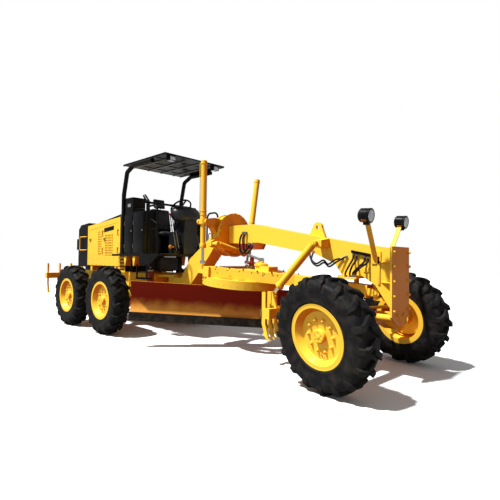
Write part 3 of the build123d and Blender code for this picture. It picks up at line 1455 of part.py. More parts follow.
for place, edges, field in zip(("front", "rear"), (DOOR_EDGES[:2], DOOR_EDGES[2:]), AIR_FIELDS):
    door = make_door(*edges, *field)
    for side, name in SIDES:
        save(mirrored(door, side), f"{place}_hood_door_{name}")

engine = block(neck_x(6550), neck_x(5550), -330, 330, FRAME_TOP_Z + SLIDE_GAP, 1980)
save(engine, "engine_block")


def make_radiator_housing():
    """Black rear housing with a grille of upright bars, open behind them."""
    front, rear = neck_x(HOOD_REAR_BEHIND) - SLIDE_GAP, neck_x(RADIATOR_REAR_BEHIND)
    outline = (
        (front, 1240),
        (rear, 1240),
        (rear, 2130),
        (rear + 120, 2230),
        (front, 2262),
    )
    w = HOOD_HALF_WIDTH - 20
    shell = side_plate(outline, -w, w) - block(rear - 1, front - 60, -w + 50, w - 50, 1330, 2080)
    bars = [block(rear + 5, rear + 25, y - 14, y + 14, 1325, 2085) for y in range(-420, 421, 70)]
    feet = []
    for side in (-1, 1):
        low, high = sorted((side * 300, side * 370))
        feet.append(block(rear + 40, front - 20, low, high, FRAME_TOP_Z, 1245))
    box = block(rear - 95, rear + 5, -w, -w + 190, 1640, 1900)
    return fused(shell, *bars, *feet, box)


save(make_radiator_housing(), "radiator_housing")

EXHAUST_BEHIND = 5375.0
EXHAUST_Y = 150.0
EXHAUST_FLANGE = 50.0


def make_exhaust():
    """Upright exhaust pipe with a bent outlet."""
    x, y = neck_x(EXHAUST_BEHIND), EXHAUST_Y
    near, far = EXHAUST_BEHIND - EXHAUST_FLANGE, EXHAUST_BEHIND + EXHAUST_FLANGE
    foot = (
        (neck_x(near), hood_top(near) + SLIDE_GAP),
        (neck_x(far), hood_top(far) + SLIDE_GAP),
        (neck_x(far), hood_top(far) + 26),
        (neck_x(near), hood_top(near) + 26),
    )
    flange = side_plate(foot, y - EXHAUST_FLANGE, y + EXHAUST_FLANGE)
    pipe = bent_tube(((x, y, hood_top(EXHAUST_BEHIND) + 8), (x, y, 2720), (x - 150, y, 2860)), 42, 60)
    return pipe + flange


save(make_exhaust(), "exhaust_pipe")


# Operator's platform, cabinets, console, seat, guard frame and roof
FLOOR_Z = 1530.0
FLOOR_REAR_BEHIND = 5270.0
FLOOR_FRONT_BEHIND = 3610.0
FLOOR_HALF_WIDTH = 740.0
POST_BEHIND = 4905.0
POST_Y = 700.0
POST_RADIUS = 42.0
ROOF_Z = 3300.0


def make_platform():
    """Floor with sloping sills, frame legs, steps and hand rails."""
    front, rear = neck_x(FLOOR_FRONT_BEHIND), neck_x(FLOOR_REAR_BEHIND)
    w = FLOOR_HALF_WIDTH
    with BuildPart() as floor:
        add(block(rear, front, -w, w, FLOOR_Z - 40, FLOOR_Z))
        for side in (-1, 1):
            low, high = sorted((side * (w - 40), side * w))
            add(side_plate(
                (
                    (front, FLOOR_Z - 20),
                    (front - 300, 1330),
                    (front - 620, 1330),
                    (front - 640, FLOOR_Z - 20),
                ),
                low,
                high,
            ))
            low, high = sorted((side * 290, side * 370))
            for behind in (4450, 5150):
                add(block(neck_x(behind) - 50, neck_x(behind) + 50, low, high, FRAME_TOP_Z, FLOOR_Z - 30))
            step_y = side * (w - 20)
            for x in (neck_x(4000), neck_x(4330)):
                add(rod((x, step_y, 1345), (x, step_y, 1060), 16))
            add(block(neck_x(4340), neck_x(3990), *sorted((side * (w - 130), side * w)), 1060, 1090))
            rail = ((neck_x(4020), side * (w - 20), FLOOR_Z - 5), (neck_x(4020), side * (w - 20), 2400),
                    (neck_x(3690), side * (w - 20), 2400), (neck_x(3690), side * (w - 20), FLOOR_Z - 5))
            add(bent_tube(rail, 18, 110))
    return floor.part


save(make_platform(), "operator_platform")


def make_cabinets():
    """Two tall black cabinets each side, and the air cleaner drum on top of the rear right one."""
    pieces = []
    for side in (-1, 1):
        for near, far, top in ((4110, 4480, 2330), (4500, 4800, 2300)):
            low, high = sorted((side * 440, side * (FLOOR_HALF_WIDTH - 5)))
            pieces.append(block(neck_x(far), neck_x(near), low, high, FLOOR_Z + SLIDE_GAP, top))
        low, high = sorted((side * 440, side * 700))
        pieces.append(block(neck_x(4520), neck_x(4470), low, high, FLOOR_Z + SLIDE_GAP, 2200))
    pieces.append(block(neck_x(4790), neck_x(4520), -720, -450, 2300, 2620))
    return pieces


cabinets = make_cabinets()
right_cabinets = fused(cabinets[0], cabinets[1], cabinets[2], cabinets[6])
left_cabinets = fused(cabinets[3], cabinets[4], cabinets[5])
save(Compound(children=[right_cabinets, left_cabinets]), "side_cabinets")


def make_console():
    """Control stand with its round-backed pod, column, steering wheel and levers."""
    foot_z = FLOOR_Z + SLIDE_GAP
    with BuildPart() as stand:
        add(side_plate(
            (
                (neck_x(3660), foot_z),
                (neck_x(3950), foot_z),
                (neck_x(3900), 2050),
                (neck_x(3820), 2360),
                (neck_x(3700), 2430),
                (neck_x(3640), 2300),
            ),
            -150,
            150,
        ))
        for side in (-1, 1):
            for offset in range(3):
                lever_x = neck_x(3930) + 5
                lever_y = side * (175 + 45 * offset)
                add(rod((lever_x + 70, lever_y, 1880), (lever_x - 20, lever_y, 2280), 9))
            add(block(neck_x(3920), neck_x(3760), *sorted((side * 140, side * 300)), foot_z, 1900))
        add(rod((neck_x(3830), 0, 2280), (neck_x(3960), 0, 2440), 28))
    wheel_axis = Vector(neck_x(3960), 0, 2440) - Vector(neck_x(3830), 0, 2280)
    with BuildPart() as wheel:
        with BuildSketch(Plane(origin=(neck_x(3960), 0, 2440), z_dir=wheel_axis)):
            Circle(215)
            Circle(190, mode=Mode.SUBTRACT)
            Rectangle(396, 26)
            Rectangle(26, 396)
            Circle(48)
        extrude(amount=22)
    return stand.part + wheel.part


save(make_console(), "control_console")


def make_seat():
    """Operator's seat: base, cushion, back and head rest."""
    back = (
        (neck_x(4600), 1980),
        (neck_x(4690), 1980),
        (neck_x(4770), 2480),
        (neck_x(4670), 2480),
    )
    head_rest = (
        (neck_x(4670), 2475),
        (neck_x(4745), 2475),
        (neck_x(4775), 2680),
        (neck_x(4700), 2680),
    )
    pieces = [
        block(neck_x(4640), neck_x(4330), -170, 170, FLOOR_Z + SLIDE_GAP, 1860),
        block(neck_x(4680), neck_x(4200), -250, 250, 1855, 1985),
        side_plate(back, -230, 230),
        side_plate(head_rest, -130, 130),
    ]
    return fused(*pieces)


save(make_seat(), "operator_seat")


def make_guard_frame():
    """Two bent rear posts with a cross bar, standing on the platform."""
    pieces = []
    for side in (-1, 1):
        path = (
            (neck_x(POST_BEHIND), side * POST_Y, FLOOR_Z + SLIDE_GAP),
            (neck_x(POST_BEHIND), side * POST_Y, 2700),
            (neck_x(POST_BEHIND - 110), side * POST_Y, ROOF_Z - 160),
            (neck_x(POST_BEHIND - 330), side * POST_Y, ROOF_Z - 62),
            (neck_x(POST_BEHIND - 1000), side * POST_Y, ROOF_Z - 62),
        )
        pieces.append(bent_tube(path, POST_RADIUS, 70))
        x, y = neck_x(POST_BEHIND), side * POST_Y
        pieces.append(block(x - 70, x + 70, y - 40, y + 40, FLOOR_Z + SLIDE_GAP, FLOOR_Z + 20))
    x = neck_x(POST_BEHIND)
    pieces.append(rod((x, -POST_Y, 2620), (x, POST_Y, 2620), 24))
    return fused(*pieces)


save(make_guard_frame(), "guard_frame")


def make_roof():
    """Flat roof panel with a turned-down rim, stiffening ribs and two lamps."""
    front, rear = neck_x(3506), neck_x(4946)
    w = 705
    top = ROOF_Z + 15
    panel = block(rear, front, -w, w, top - 25, top)
    pieces = [panel]
    for low, high in ((-w, -w + 20), (w - 20, w)):
        pieces.append(block(rear, front, low, high, ROOF_Z - 20 + SLIDE_GAP, top))
    for behind in (3900, 4300, 4700):
        pieces.append(block(neck_x(behind), neck_x(behind) + 50, -w, w, ROOF_Z - 20 + SLIDE_GAP, top - 20))
    for side in (-1, 1):
        pieces.append(block(front - 130, front - 30, side * 520 - 70, side * 520 + 70, ROOF_Z - 95, top - 20))
    return fused(*pieces)


save(make_roof(), "canopy_roof")


LAMP_HEAD = (FX + 183, 495, 1960)
LAMP_FOOT = (FX + 143, 160, 1450)
LAMP_RADIUS = 80.0


def make_work_lamp():
    """Right lamp on a flat bar that leans outwards from a plate on the gooseneck's nose."""
    head = Vector(LAMP_HEAD[0], -LAMP_HEAD[1], LAMP_HEAD[2])
    foot = Vector(LAMP_FOOT[0], -LAMP_FOOT[1], LAMP_FOOT[2])
    base = block(foot.X - 60, foot.X + 60, -NECK_HALF_WIDTH - 16, -NECK_HALF_WIDTH - SLIDE_GAP,
                 foot.Z - 40, foot.Z + 110)
    run = head - foot
    with BuildPart() as bar:
        with BuildSketch(Plane(origin=foot, x_dir=(0, run.Z, -run.Y), z_dir=run)):
            Rectangle(12, 60)
        extrude(amount=run.length - 60)
    x, y, z = head.X, head.Y, head.Z
    body = rod((x - 25, y, z + 3), (x + 55, y, z - 6), LAMP_RADIUS)
    back = rod((x - 70, y, z + 6), (x - 20, y, z + 2), 48)
    stem = rod(tuple(head - run.normalized() * 85), (x, y, z), 14)
    return fused(base, bar.part, body, back, stem)


lamp = make_work_lamp()
save(Compound(children=[lamp, mirrored(lamp, 1)]), "work_lamps")


# Scarifier behind the front wheels and ripper behind the machine
def make_scarifier():
    """Two arms, a tool bar and nine teeth."""
    bar_x = neck_x(1200)
    pivot_x = neck_x(SCARIFIER_PIVOT_BEHIND)
    pieces = [block(bar_x - 50, bar_x + 50, -620, 620, 640, 780)]
    for side in (-1, 1):
        low, high = sorted((side * 262, side * 300))
        arm = side_plate(
            (
                (pivot_x + 45, SCARIFIER_PIVOT_Z + 45),
                (pivot_x + 45, SCARIFIER_PIVOT_Z - 45),
                (bar_x + 40, 650),
                (bar_x - 40, 650),
                (bar_x - 60, 775),
                (bar_x + 40, 850),
            ),
            low,
            high,
        )
        pivot_z = SCARIFIER_PIVOT_Z
        bore = rod((pivot_x, low - 5, pivot_z), (pivot_x, high + 5, pivot_z), 25 + SHAFT_GAP)
        pieces.append(arm - bore)
    for index in range(11):
        y = -575 + 115 * index
        top = 1000 if abs(y) > 330 else 780
        shank = (
            (bar_x - 48, top),
            (bar_x - 110, top),
            (bar_x - 110, 560),
            (bar_x - 40, 365),
            (bar_x + 20, 345),
            (bar_x - 48, 560),
        )
        pieces.append(side_plate(shank, y - 14, y + 14))
    eye_y = scarifier_eye[1]
    lug = side_plate(
        (
            (scarifier_eye[0] - 40, 930),
            (scarifier_eye[0] - 40, 1000),
            (scarifier_eye[0] + 40, 1000),
            (bar_x + 45, 770),
            (bar_x - 45, 770),
        ),
        eye_y - 62,
        eye_y - 30 - EYE_GAP,
    )
    pieces.append(lug)
    return fused(*pieces)


save(make_scarifier(), "scarifier")
RIPPER_BEAM = (
    RIPPER_PIVOT[0] - RIPPER_ARM_LENGTH * cos(radians(RIPPER_ARM_RISE)),
    0,
    RIPPER_PIVOT[2] + RIPPER_ARM_LENGTH * sin(radians(RIPPER_ARM_RISE)),
)


def make_ripper_arms():
    """Two arms joined by a cross tube, between the frame and the ripper beam."""
    pieces = []
    for side in (-1, 1):
        low, high = sorted((side * 380, side * 430))
        start, end = (RIPPER_PIVOT[0], RIPPER_PIVOT[2]), (RIPPER_BEAM[0], RIPPER_BEAM[2])
        arm = side_plate(
            (
                (start[0] + 50, start[1] + 50),
                (start[0] + 50, start[1] - 50),
                (end[0], end[1] - RIPPER_ARM_END),
                (end[0], end[1] + RIPPER_ARM_END),
            ),
            low,
            high,
        )
        arm = arm + rod((end[0], low, end[1]), (end[0], high, end[1]), RIPPER_ARM_END)
        for x, z, radius in ((*start, RIPPER_PIVOT_RADIUS), (*end, RIPPER_BEAM_PIN_RADIUS)):
            arm = arm - rod((x, low - 5, z), (x, high + 5, z), radius + SHAFT_GAP)
        pieces.append(arm)
    tube_x = RIPPER_EYE[0]
    tube_z = RIPPER_PIVOT[2] + (RIPPER_PIVOT[0] - tube_x) * tan(radians(RIPPER_ARM_RISE))
    pieces.append(rod((tube_x, -400, tube_z), (tube_x, 400, tube_z), 40))
    for side in (-1, 1):
        low, high = sorted((side * (RIPPER_CHEEK_IN + 2), side * (RIPPER_CHEEK_IN + 2 + RIPPER_CHEEK)))
        lug = (
            (tube_x - 38, tube_z),
            (tube_x + 38, tube_z),
            (tube_x + 34, RIPPER_EYE[2] + 40),
            (tube_x - 34, RIPPER_EYE[2] + 40),
        )
        pieces.append(side_plate(lug, low, high))
    return fused(*pieces)


def make_ripper_beam():
    """Ripper beam with seven shanks and the lugs that take the arms."""
    x, z = RIPPER_BEAM[0] - 130, RIPPER_BEAM[2]
    pieces = [block(x - 70, x + 70, -RIPPER_BEAM_HALF_WIDTH, RIPPER_BEAM_HALF_WIDTH, z - 70, z + 70)]
    for side in (-1, 1):
        low, high = sorted((side * 436, side * 470))
        pieces.append(block(x + 60, RIPPER_BEAM[0] + 40, low, high, z - 45, z + 45))
        pin_x = RIPPER_BEAM[0]
        pieces.append(rod((pin_x, side * 376, z), (pin_x, side * 470, z), RIPPER_BEAM_PIN_RADIUS))
    for index in range(7):
        y = -864 + 288 * index
        shank = (
            (x - 72, z + 300),
            (x - 130, z + 300),
            (x - 130, z - 230),
            (x - 60, z - 420),
            (x + 10, z - 440),
            (x - 69, z - 215),
        )
        pieces.append(side_plate(shank, y - 18, y + 18))
    return fused(*pieces)


save(make_ripper_arms(), "ripper_arms")
save(make_ripper_beam(), "ripper_beam")
shell, plunger = cylinder_pair(RIPPER_TRUNNION, RIPPER_EYE, 345, 42, 20, 34, 50, (0, 1, 0))
save(shell, "ripper_barrel")
save(plunger, "ripper_rod")
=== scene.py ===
"""Looks of a motor grader: finishes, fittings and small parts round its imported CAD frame.

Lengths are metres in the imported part's frame: X forwards, Y to the driver's left, Z up, ground at Z = 0.
"""
from __future__ import annotations

import json
import logging
import math
from collections.abc import Sequence
from dataclasses import dataclass, field
from enum import Enum

import bmesh
import bpy
from mathutils import Matrix, Vector

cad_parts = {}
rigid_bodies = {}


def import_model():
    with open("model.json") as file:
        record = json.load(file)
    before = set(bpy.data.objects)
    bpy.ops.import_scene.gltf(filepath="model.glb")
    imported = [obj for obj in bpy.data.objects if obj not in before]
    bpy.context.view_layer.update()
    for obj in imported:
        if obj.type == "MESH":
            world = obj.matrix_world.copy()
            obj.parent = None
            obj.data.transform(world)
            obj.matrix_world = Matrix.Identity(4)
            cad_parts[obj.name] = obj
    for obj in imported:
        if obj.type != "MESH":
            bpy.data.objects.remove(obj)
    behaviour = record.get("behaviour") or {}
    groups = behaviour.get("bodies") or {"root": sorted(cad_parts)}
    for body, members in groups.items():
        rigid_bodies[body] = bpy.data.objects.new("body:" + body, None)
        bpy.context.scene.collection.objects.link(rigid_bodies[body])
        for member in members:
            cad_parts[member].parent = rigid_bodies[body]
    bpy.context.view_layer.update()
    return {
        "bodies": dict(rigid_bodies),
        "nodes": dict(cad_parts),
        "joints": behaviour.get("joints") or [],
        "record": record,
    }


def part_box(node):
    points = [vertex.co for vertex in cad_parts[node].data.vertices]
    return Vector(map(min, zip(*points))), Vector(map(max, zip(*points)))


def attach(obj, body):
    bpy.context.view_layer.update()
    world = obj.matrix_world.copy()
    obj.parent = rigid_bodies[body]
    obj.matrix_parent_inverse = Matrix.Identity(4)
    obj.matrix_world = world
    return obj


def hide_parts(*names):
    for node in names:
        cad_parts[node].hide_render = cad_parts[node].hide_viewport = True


LOG = logging.getLogger("grader")
Point = tuple[float, float, float]
Colour = tuple[float, float, float]
Pieces = list[bpy.types.Object]
# Rows of two measures, such as radius and distance along, or X and Z.
Section = Sequence[tuple[float, float]]
FORWARD = Vector((1, 0, 0))
LEFTWARD = Vector((0, 1, 0))
UPWARD = Vector((0, 0, 1))
# Level of the mirror-like reflection of paint, rubber and bare metal, on the shader's scale of 0 to 1.
SHEEN = 0.12
# How far the drawbar slopes and how far the blade is turned, with every joint at rest.
DRAWBAR_LEAN = math.radians(4.47)
BLADE_TURN = math.radians(-43.6)


class Finish(Enum):
    """The finishes of the machine, by the name of their material."""

    YELLOW = "yellow_gloss_paint"
    RIM_YELLOW = "rim_yellow_paint"
    BLADE_ORANGE = "blade_orange_paint"
    BLACK = "black_satin_paint"
    ROOF_BLACK = "roof_black_paint"
    GREY_PLASTIC = "grey_moulded_plastic"
    ENGINE = "engine_grey_paint"
    RUBBER = "tyre_rubber"
    HOSE = "hose_rubber"
    VINYL = "seat_vinyl"
    CHROME = "polished_rod"
    STEEL = "zinc_plated_steel"
    EDGE = "worn_edge_steel"
    LENS = "lamp_lens"
    REFLECTOR = "lamp_reflector"
    KNOB_RED = "red_knob_plastic"
    KNOB_ORANGE = "orange_knob_plastic"
    DARK_RED = "dark_red_paint"
    FLOOR = "pale_floor"


class NodeSheet:
    """A new node material, with the steps that the finishes share."""

    def __init__(self, name: str) -> None:
        """Start the material.

        Args:
            name: name of the material.
        """
        self.material = bpy.data.materials.new(name)
        self.material.use_nodes = True
        self.nodes = self.material.node_tree.nodes
        self.links = self.material.node_tree.links
        self.shader = self.nodes["Principled BSDF"]

    def add(self, kind: str, values: dict[str, float]) -> bpy.types.Node:
        """Add a node and set its inputs.

        Args:
            kind: the node's type, after the word that all types start with.
            values: input values by their names.

        Returns:
            The new node.
        """
        node = self.nodes.new(f"ShaderNode{kind}")
        for name, value in values.items():
            node.inputs[name].default_value = value
        return node

    def dial(self, values: dict[str, float]) -> None:
        """Set inputs of the shader by their names."""
        for name, value in values.items():
            self.shader.inputs[name].default_value = value

    def texture(self, kind: str, values: dict[str, float]) -> bpy.types.Node:
        """Add a texture that lies on the object's own coordinates.

        Args:
            kind: the texture's type.
            values: input values by their names.

        Returns:
            The new node.
        """
        made = self.add(f"Tex{kind}", values)
        place = self.add("TexCoord", {})
        self.links.new(place.outputs["Object"], made.inputs["Vector"])
        return made

    def span(self, source: bpy.types.NodeSocket, values: dict[str, float]) -> bpy.types.Node:
        """Stretch a value from one range to another.

        Args:
            source: the value.
            values: ends of the two ranges, by their names.

        Returns:
            The new node.
        """
        made = self.add("MapRange", values)
        self.links.new(source, made.inputs["Value"])
        return made

    def blend(self, first: Colour, second: Colour, share: bpy.types.NodeSocket) -> None:
        """Give the shader a mix of two colours.

        Args:
            first: colour where the share is 0.
            second: colour where the share is 1.
            share: how much of the second colour shows.
        """
        made = self.nodes.new("ShaderNodeMix")
        made.data_type = "RGBA"
        made.inputs["A"].default_value = (*first, 1.0)
        made.inputs["B"].default_value = (*second, 1.0)
        self.links.new(share, made.inputs["Factor"])
        self.links.new(made.outputs["Result"], self.shader.inputs["Base Color"])

    def relief(self, height: bpy.types.NodeSocket, depth: float, strength: float) -> None:
        """Give the shader a bumpy surface.

        Args:
            height: the surface's height, 0 to 1.
            depth: depth of the bumps in metres.
            strength: how strongly they show, 0 to 1.
        """
        made = self.add("Bump", {"Distance": depth, "Strength": strength})
        self.links.new(height, made.inputs["Height"])
        self.links.new(made.outputs["Normal"], self.shader.inputs["Normal"])


@dataclass(frozen=True)
class Coating:
    """A solid finish: two close colours in soft patches, with a fine grain.

    Args:
        colour: main colour.
        patch: second colour, seen in patches.
        patch_size: size of a patch in metres.
        share: how strongly the second colour shows, 0 to 1.
        rough: roughness of the cleanest places.
        rough_more: roughness added where the second colour shows.
        metal: 0 for paint and rubber, 1 for bare metal.
        grain_size: size of the surface grain in metres.
        grain: depth of the grain in metres.
        coat: weight of a clear coat.
    """

    colour: Colour
    patch: Colour
    patch_size: float = 0.25
    share: float = 0.5
    rough: float = 0.35
    rough_more: float = 0.15
    metal: float = 0.0
    grain_size: float = 0.004
    grain: float = 0.0002
    coat: float = 0.0

    def build(self, name: str) -> bpy.types.Material:
        """Make the node material.

        Args:
            name: name of the material.

        Returns:
            The new material.
        """
        sheet = NodeSheet(name)
        patches = sheet.texture("Noise", {"Scale": 1.0 / self.patch_size, "Detail": 5.0})
        limits = {"From Min": 0.42, "From Max": 0.68, "To Max": self.share}
        spread = sheet.span(patches.outputs["Fac"], limits)
        sheet.blend(self.colour, self.patch, spread.outputs["Result"])
        most = self.rough + self.rough_more
        limits = {"From Max": max(self.share, 0.01), "To Min": self.rough, "To Max": most}
        dull = sheet.span(spread.outputs["Result"], limits)
        sheet.links.new(dull.outputs["Result"], sheet.shader.inputs["Roughness"])
        grain = sheet.texture("Noise", {"Scale": 1.0 / self.grain_size})
        sheet.relief(grain.outputs["Fac"], self.grain, 0.6)
        sheet.dial({"Metallic": self.metal, "Coat Weight": self.coat, "Specular IOR Level": SHEEN})
        return sheet.material


@dataclass(frozen=True)
class LitAndShadedPaint:
    """Paint with painted light and shade: a pale lit colour on faces turned to the sun's side and a darker
    painted shade colour on faces turned away.

    Args:
        shade_colour: painted shade, the colour of faces turned away from the sun's side.
        lit_colour: painted light, the colour of faces turned to the sun's side.
        low: share of the normal along the sunny way where the painted light starts.
        high: share where it is full.
        rough: roughness.
        coat: weight of a clear coat.
        sunny: unit direction that the sun mostly comes from.
        edge_noise: how far noise moves the edge between painted shade and painted light.
    """

    shade_colour: Colour
    lit_colour: Colour
    low: float
    high: float
    rough: float = 0.32
    coat: float = 0.25
    sunny: Point = (-0.307, -0.501, 0.809)
    edge_noise: float = 0.22

    def build(self, name: str) -> bpy.types.Material:
        """Make the node material.

        Args:
            name: name of the material.

        Returns:
            The new material.
        """
        sheet = NodeSheet(name)
        # Painted light and shade: the mix of the two colours follows how far each face turns towards the
        # sun's side.
        facing = sheet.nodes.new("ShaderNodeVectorMath")
        facing.operation = "DOT_PRODUCT"
        facing.inputs[1].default_value = self.sunny
        place = sheet.add("TexCoord", {})
        sheet.links.new(place.outputs["Normal"], facing.inputs[0])
        # Noise moves the edge between the painted shade and the painted light.
        edge_noise_texture = sheet.texture("Noise", {"Scale": 6.0, "Detail": 6.0})
        shifted = sheet.nodes.new("ShaderNodeMath")
        shifted.operation = "MULTIPLY_ADD"
        shifted.inputs[1].default_value = self.edge_noise
        sheet.links.new(edge_noise_texture.outputs["Fac"], shifted.inputs[0])
        sheet.links.new(facing.outputs["Value"], shifted.inputs[2])
        middle = self.edge_noise / 2
        limits = {"From Min": self.low + middle, "From Max": self.high + middle}
        spread = sheet.span(shifted.outputs["Value"], limits)
        spread.interpolation_type = "SMOOTHSTEP"
        sheet.blend(self.shade_colour, self.lit_colour, spread.outputs["Result"])
        grain = sheet.texture("Noise", {"Scale": 260.0})
        sheet.relief(grain.outputs["Fac"], 0.0001, 0.5)
        sheet.dial({"Roughness": self.rough, "Coat Weight": self.coat, "Specular IOR Level": SHEEN})
        return sheet.material


@dataclass(frozen=True)
class StudioFloor:
    """White floor that sends back less light than it shows to the camera.

    Args:
        seen: grey value that the camera sees lit.
        thrown: grey value for light that it throws back.
    """

    seen: float
    thrown: float

    def build(self, name: str) -> bpy.types.Material:
        """Make the node material.

        Args:
            name: name of the material.

        Returns:
            The new material.
        """
        sheet = NodeSheet(name)
        rays = sheet.add("LightPath", {})
        sheet.blend((self.thrown,) * 3, (self.seen,) * 3, rays.outputs["Is Camera Ray"])
        sheet.dial({"Roughness": 0.9})
        return sheet.material


@dataclass(frozen=True)
class Moulding:
    """A pebbled or creased skin, such as seat vinyl or moulded plastic.

    Args:
        colour: main colour.
        worn: colour of the rubbed places.
        cell: size of a pebble in metres.
        depth: depth of the pebbles in metres.
        rough: roughness.
    """

    colour: Colour
    worn: Colour
    cell: float
    depth: float
    rough: float

    def build(self, name: str) -> bpy.types.Material:
        """Make the node material.

        Args:
            name: name of the material.

        Returns:
            The new material.
        """
        sheet = NodeSheet(name)
        cells = sheet.texture("Voronoi", {"Scale": 1.0 / self.cell})
        sheet.relief(cells.outputs["Distance"], self.depth, 0.7)
        wear = sheet.texture("Noise", {"Scale": 9.0})
        spread = sheet.span(wear.outputs["Fac"], {"From Min": 0.45, "From Max": 0.75})
        sheet.blend(self.colour, self.worn, spread.outputs["Result"])
        sheet.dial({"Roughness": self.rough})
        return sheet.material


@dataclass(frozen=True)
class LensGlass:
    """Clear ribbed glass of a lamp.

    Args:
        tint: colour of the glass.
        ribs: scale of the waves that make the ribs, where more is finer.
    """

    tint: Colour
    ribs: float

    def build(self, name: str) -> bpy.types.Material:
        """Make the node material.

        Args:
            name: name of the material.

        Returns:
            The new material.
        """
        sheet = NodeSheet(name)
        sheet.shader.inputs["Base Color"].default_value = (*self.tint, 1.0)
        sheet.dial({"Roughness": 0.12, "Transmission Weight": 0.35, "Coat Weight": 0.5})
        waves = sheet.texture("Wave", {"Scale": self.ribs})
        waves.bands_direction = "Y"
        sheet.relief(waves.outputs["Fac"], 0.002, 1.0)
        return sheet.material


RECIPES = {
    # Painted light and shade: yellow, rim yellow and blade orange are pale on faces turned to the sun's side
    # and darker, redder on faces turned away.
    Finish.YELLOW: LitAndShadedPaint(
        shade_colour=(0.66, 0.150, 0.003), lit_colour=(0.97, 0.60, 0.050), low=-0.45, high=0.30, rough=0.34, coat=0.05),
    Finish.RIM_YELLOW: LitAndShadedPaint(
        shade_colour=(0.58, 0.14, 0.005), lit_colour=(0.97, 0.58, 0.050), low=-0.45, high=0.35, rough=0.34, coat=0.05),
    Finish.BLADE_ORANGE: LitAndShadedPaint(
        shade_colour=(0.25, 0.012, 0.0006), lit_colour=(0.95, 0.42, 0.07), low=0.02, high=0.34, rough=0.6, coat=0.0),
    Finish.BLACK: Coating(
        (0.0022, 0.0022, 0.0028), (0.0065, 0.0065, 0.0080), patch_size=0.3, share=0.6, rough=0.30,
        rough_more=0.18, grain_size=0.003, grain=0.0001, coat=0.1),
    Finish.ROOF_BLACK: Coating(
        (0.0025, 0.0030, 0.0042), (0.0080, 0.0095, 0.0120), patch_size=0.6, share=0.6, rough=0.34,
        grain=0.0001, coat=0.1),
    Finish.ENGINE: Coating(
        (0.05, 0.05, 0.055), (0.10, 0.09, 0.08), patch_size=0.1, share=0.6, rough=0.5, rough_more=0.2),
    Finish.RUBBER: Coating(
        (0.008, 0.008, 0.009), (0.034, 0.028, 0.023), patch_size=0.09, share=0.7, rough=0.55,
        rough_more=0.3, grain=0.0006),
    Finish.HOSE: Coating(
        (0.008, 0.008, 0.009), (0.02, 0.02, 0.022), patch_size=0.05, rough=0.42, grain_size=0.002,
        grain=0.0003),
    Finish.CHROME: Coating(
        (0.80, 0.81, 0.83), (0.62, 0.63, 0.66), patch_size=0.15, rough=0.10, rough_more=0.12, metal=1.0,
        grain_size=0.002, grain=0.00003),
    Finish.STEEL: Coating(
        (0.34, 0.32, 0.28), (0.20, 0.17, 0.13), patch_size=0.02, share=0.6, rough=0.36, rough_more=0.18,
        metal=0.9, grain_size=0.002, grain=0.0001),
    Finish.EDGE: Coating(
        (0.022, 0.020, 0.018), (0.075, 0.052, 0.038), patch_size=0.07, share=0.8, rough=0.45,
        rough_more=0.2, metal=0.35, grain=0.0006),
    Finish.REFLECTOR: Coating(
        (0.82, 0.83, 0.85), (0.70, 0.72, 0.75), patch_size=0.05, rough=0.16, rough_more=0.1, metal=0.9,
        grain_size=0.006),
    Finish.KNOB_RED: Coating((0.55, 0.02, 0.02), (0.4, 0.015, 0.015), patch_size=0.03, rough_more=0.1),
    Finish.KNOB_ORANGE: Coating((0.85, 0.30, 0.03), (0.7, 0.2, 0.02), patch_size=0.03, rough_more=0.1),
    Finish.DARK_RED: Coating(
        (0.26, 0.03, 0.012), (0.16, 0.02, 0.01), patch_size=0.1, share=0.6, rough=0.4, rough_more=0.2,
        grain_size=0.003, grain=0.0001, coat=0.1),
    Finish.FLOOR: StudioFloor(seen=0.92, thrown=0.26),
    Finish.GREY_PLASTIC: Moulding(
        (0.007, 0.008, 0.010), (0.015, 0.016, 0.020), cell=0.0025, depth=0.0004, rough=0.38),
    Finish.VINYL: Moulding(
        (0.012, 0.012, 0.014), (0.028, 0.028, 0.031), cell=0.004, depth=0.0007, rough=0.46),
    Finish.LENS: LensGlass(tint=(0.85, 0.88, 0.92), ribs=18.0),
}


@dataclass
class Paintshop:
    """Makes each finish once and hands it out.

    Args:
        made: the materials made so far.
    """

    made: dict[Finish, bpy.types.Material] = field(default_factory=dict)

    def get(self, finish: Finish) -> bpy.types.Material:
        """Give a finish's material, made at its first use.

        Args:
            finish: which finish.

        Returns:
            Its material.
        """
        if finish not in self.made:
            self.made[finish] = RECIPES[finish].build(finish.value)
        return self.made[finish]

    def coat(self, node: bpy.types.Object, finish: Finish) -> None:
        """Give a CAD node a finish on every slot.

        Args:
            node: the CAD node's object.
            finish: which finish.
        """
        material = self.get(finish)
        if not node.material_slots:
            node.data.materials.append(material)
        for slot in node.material_slots:
            slot.material = material


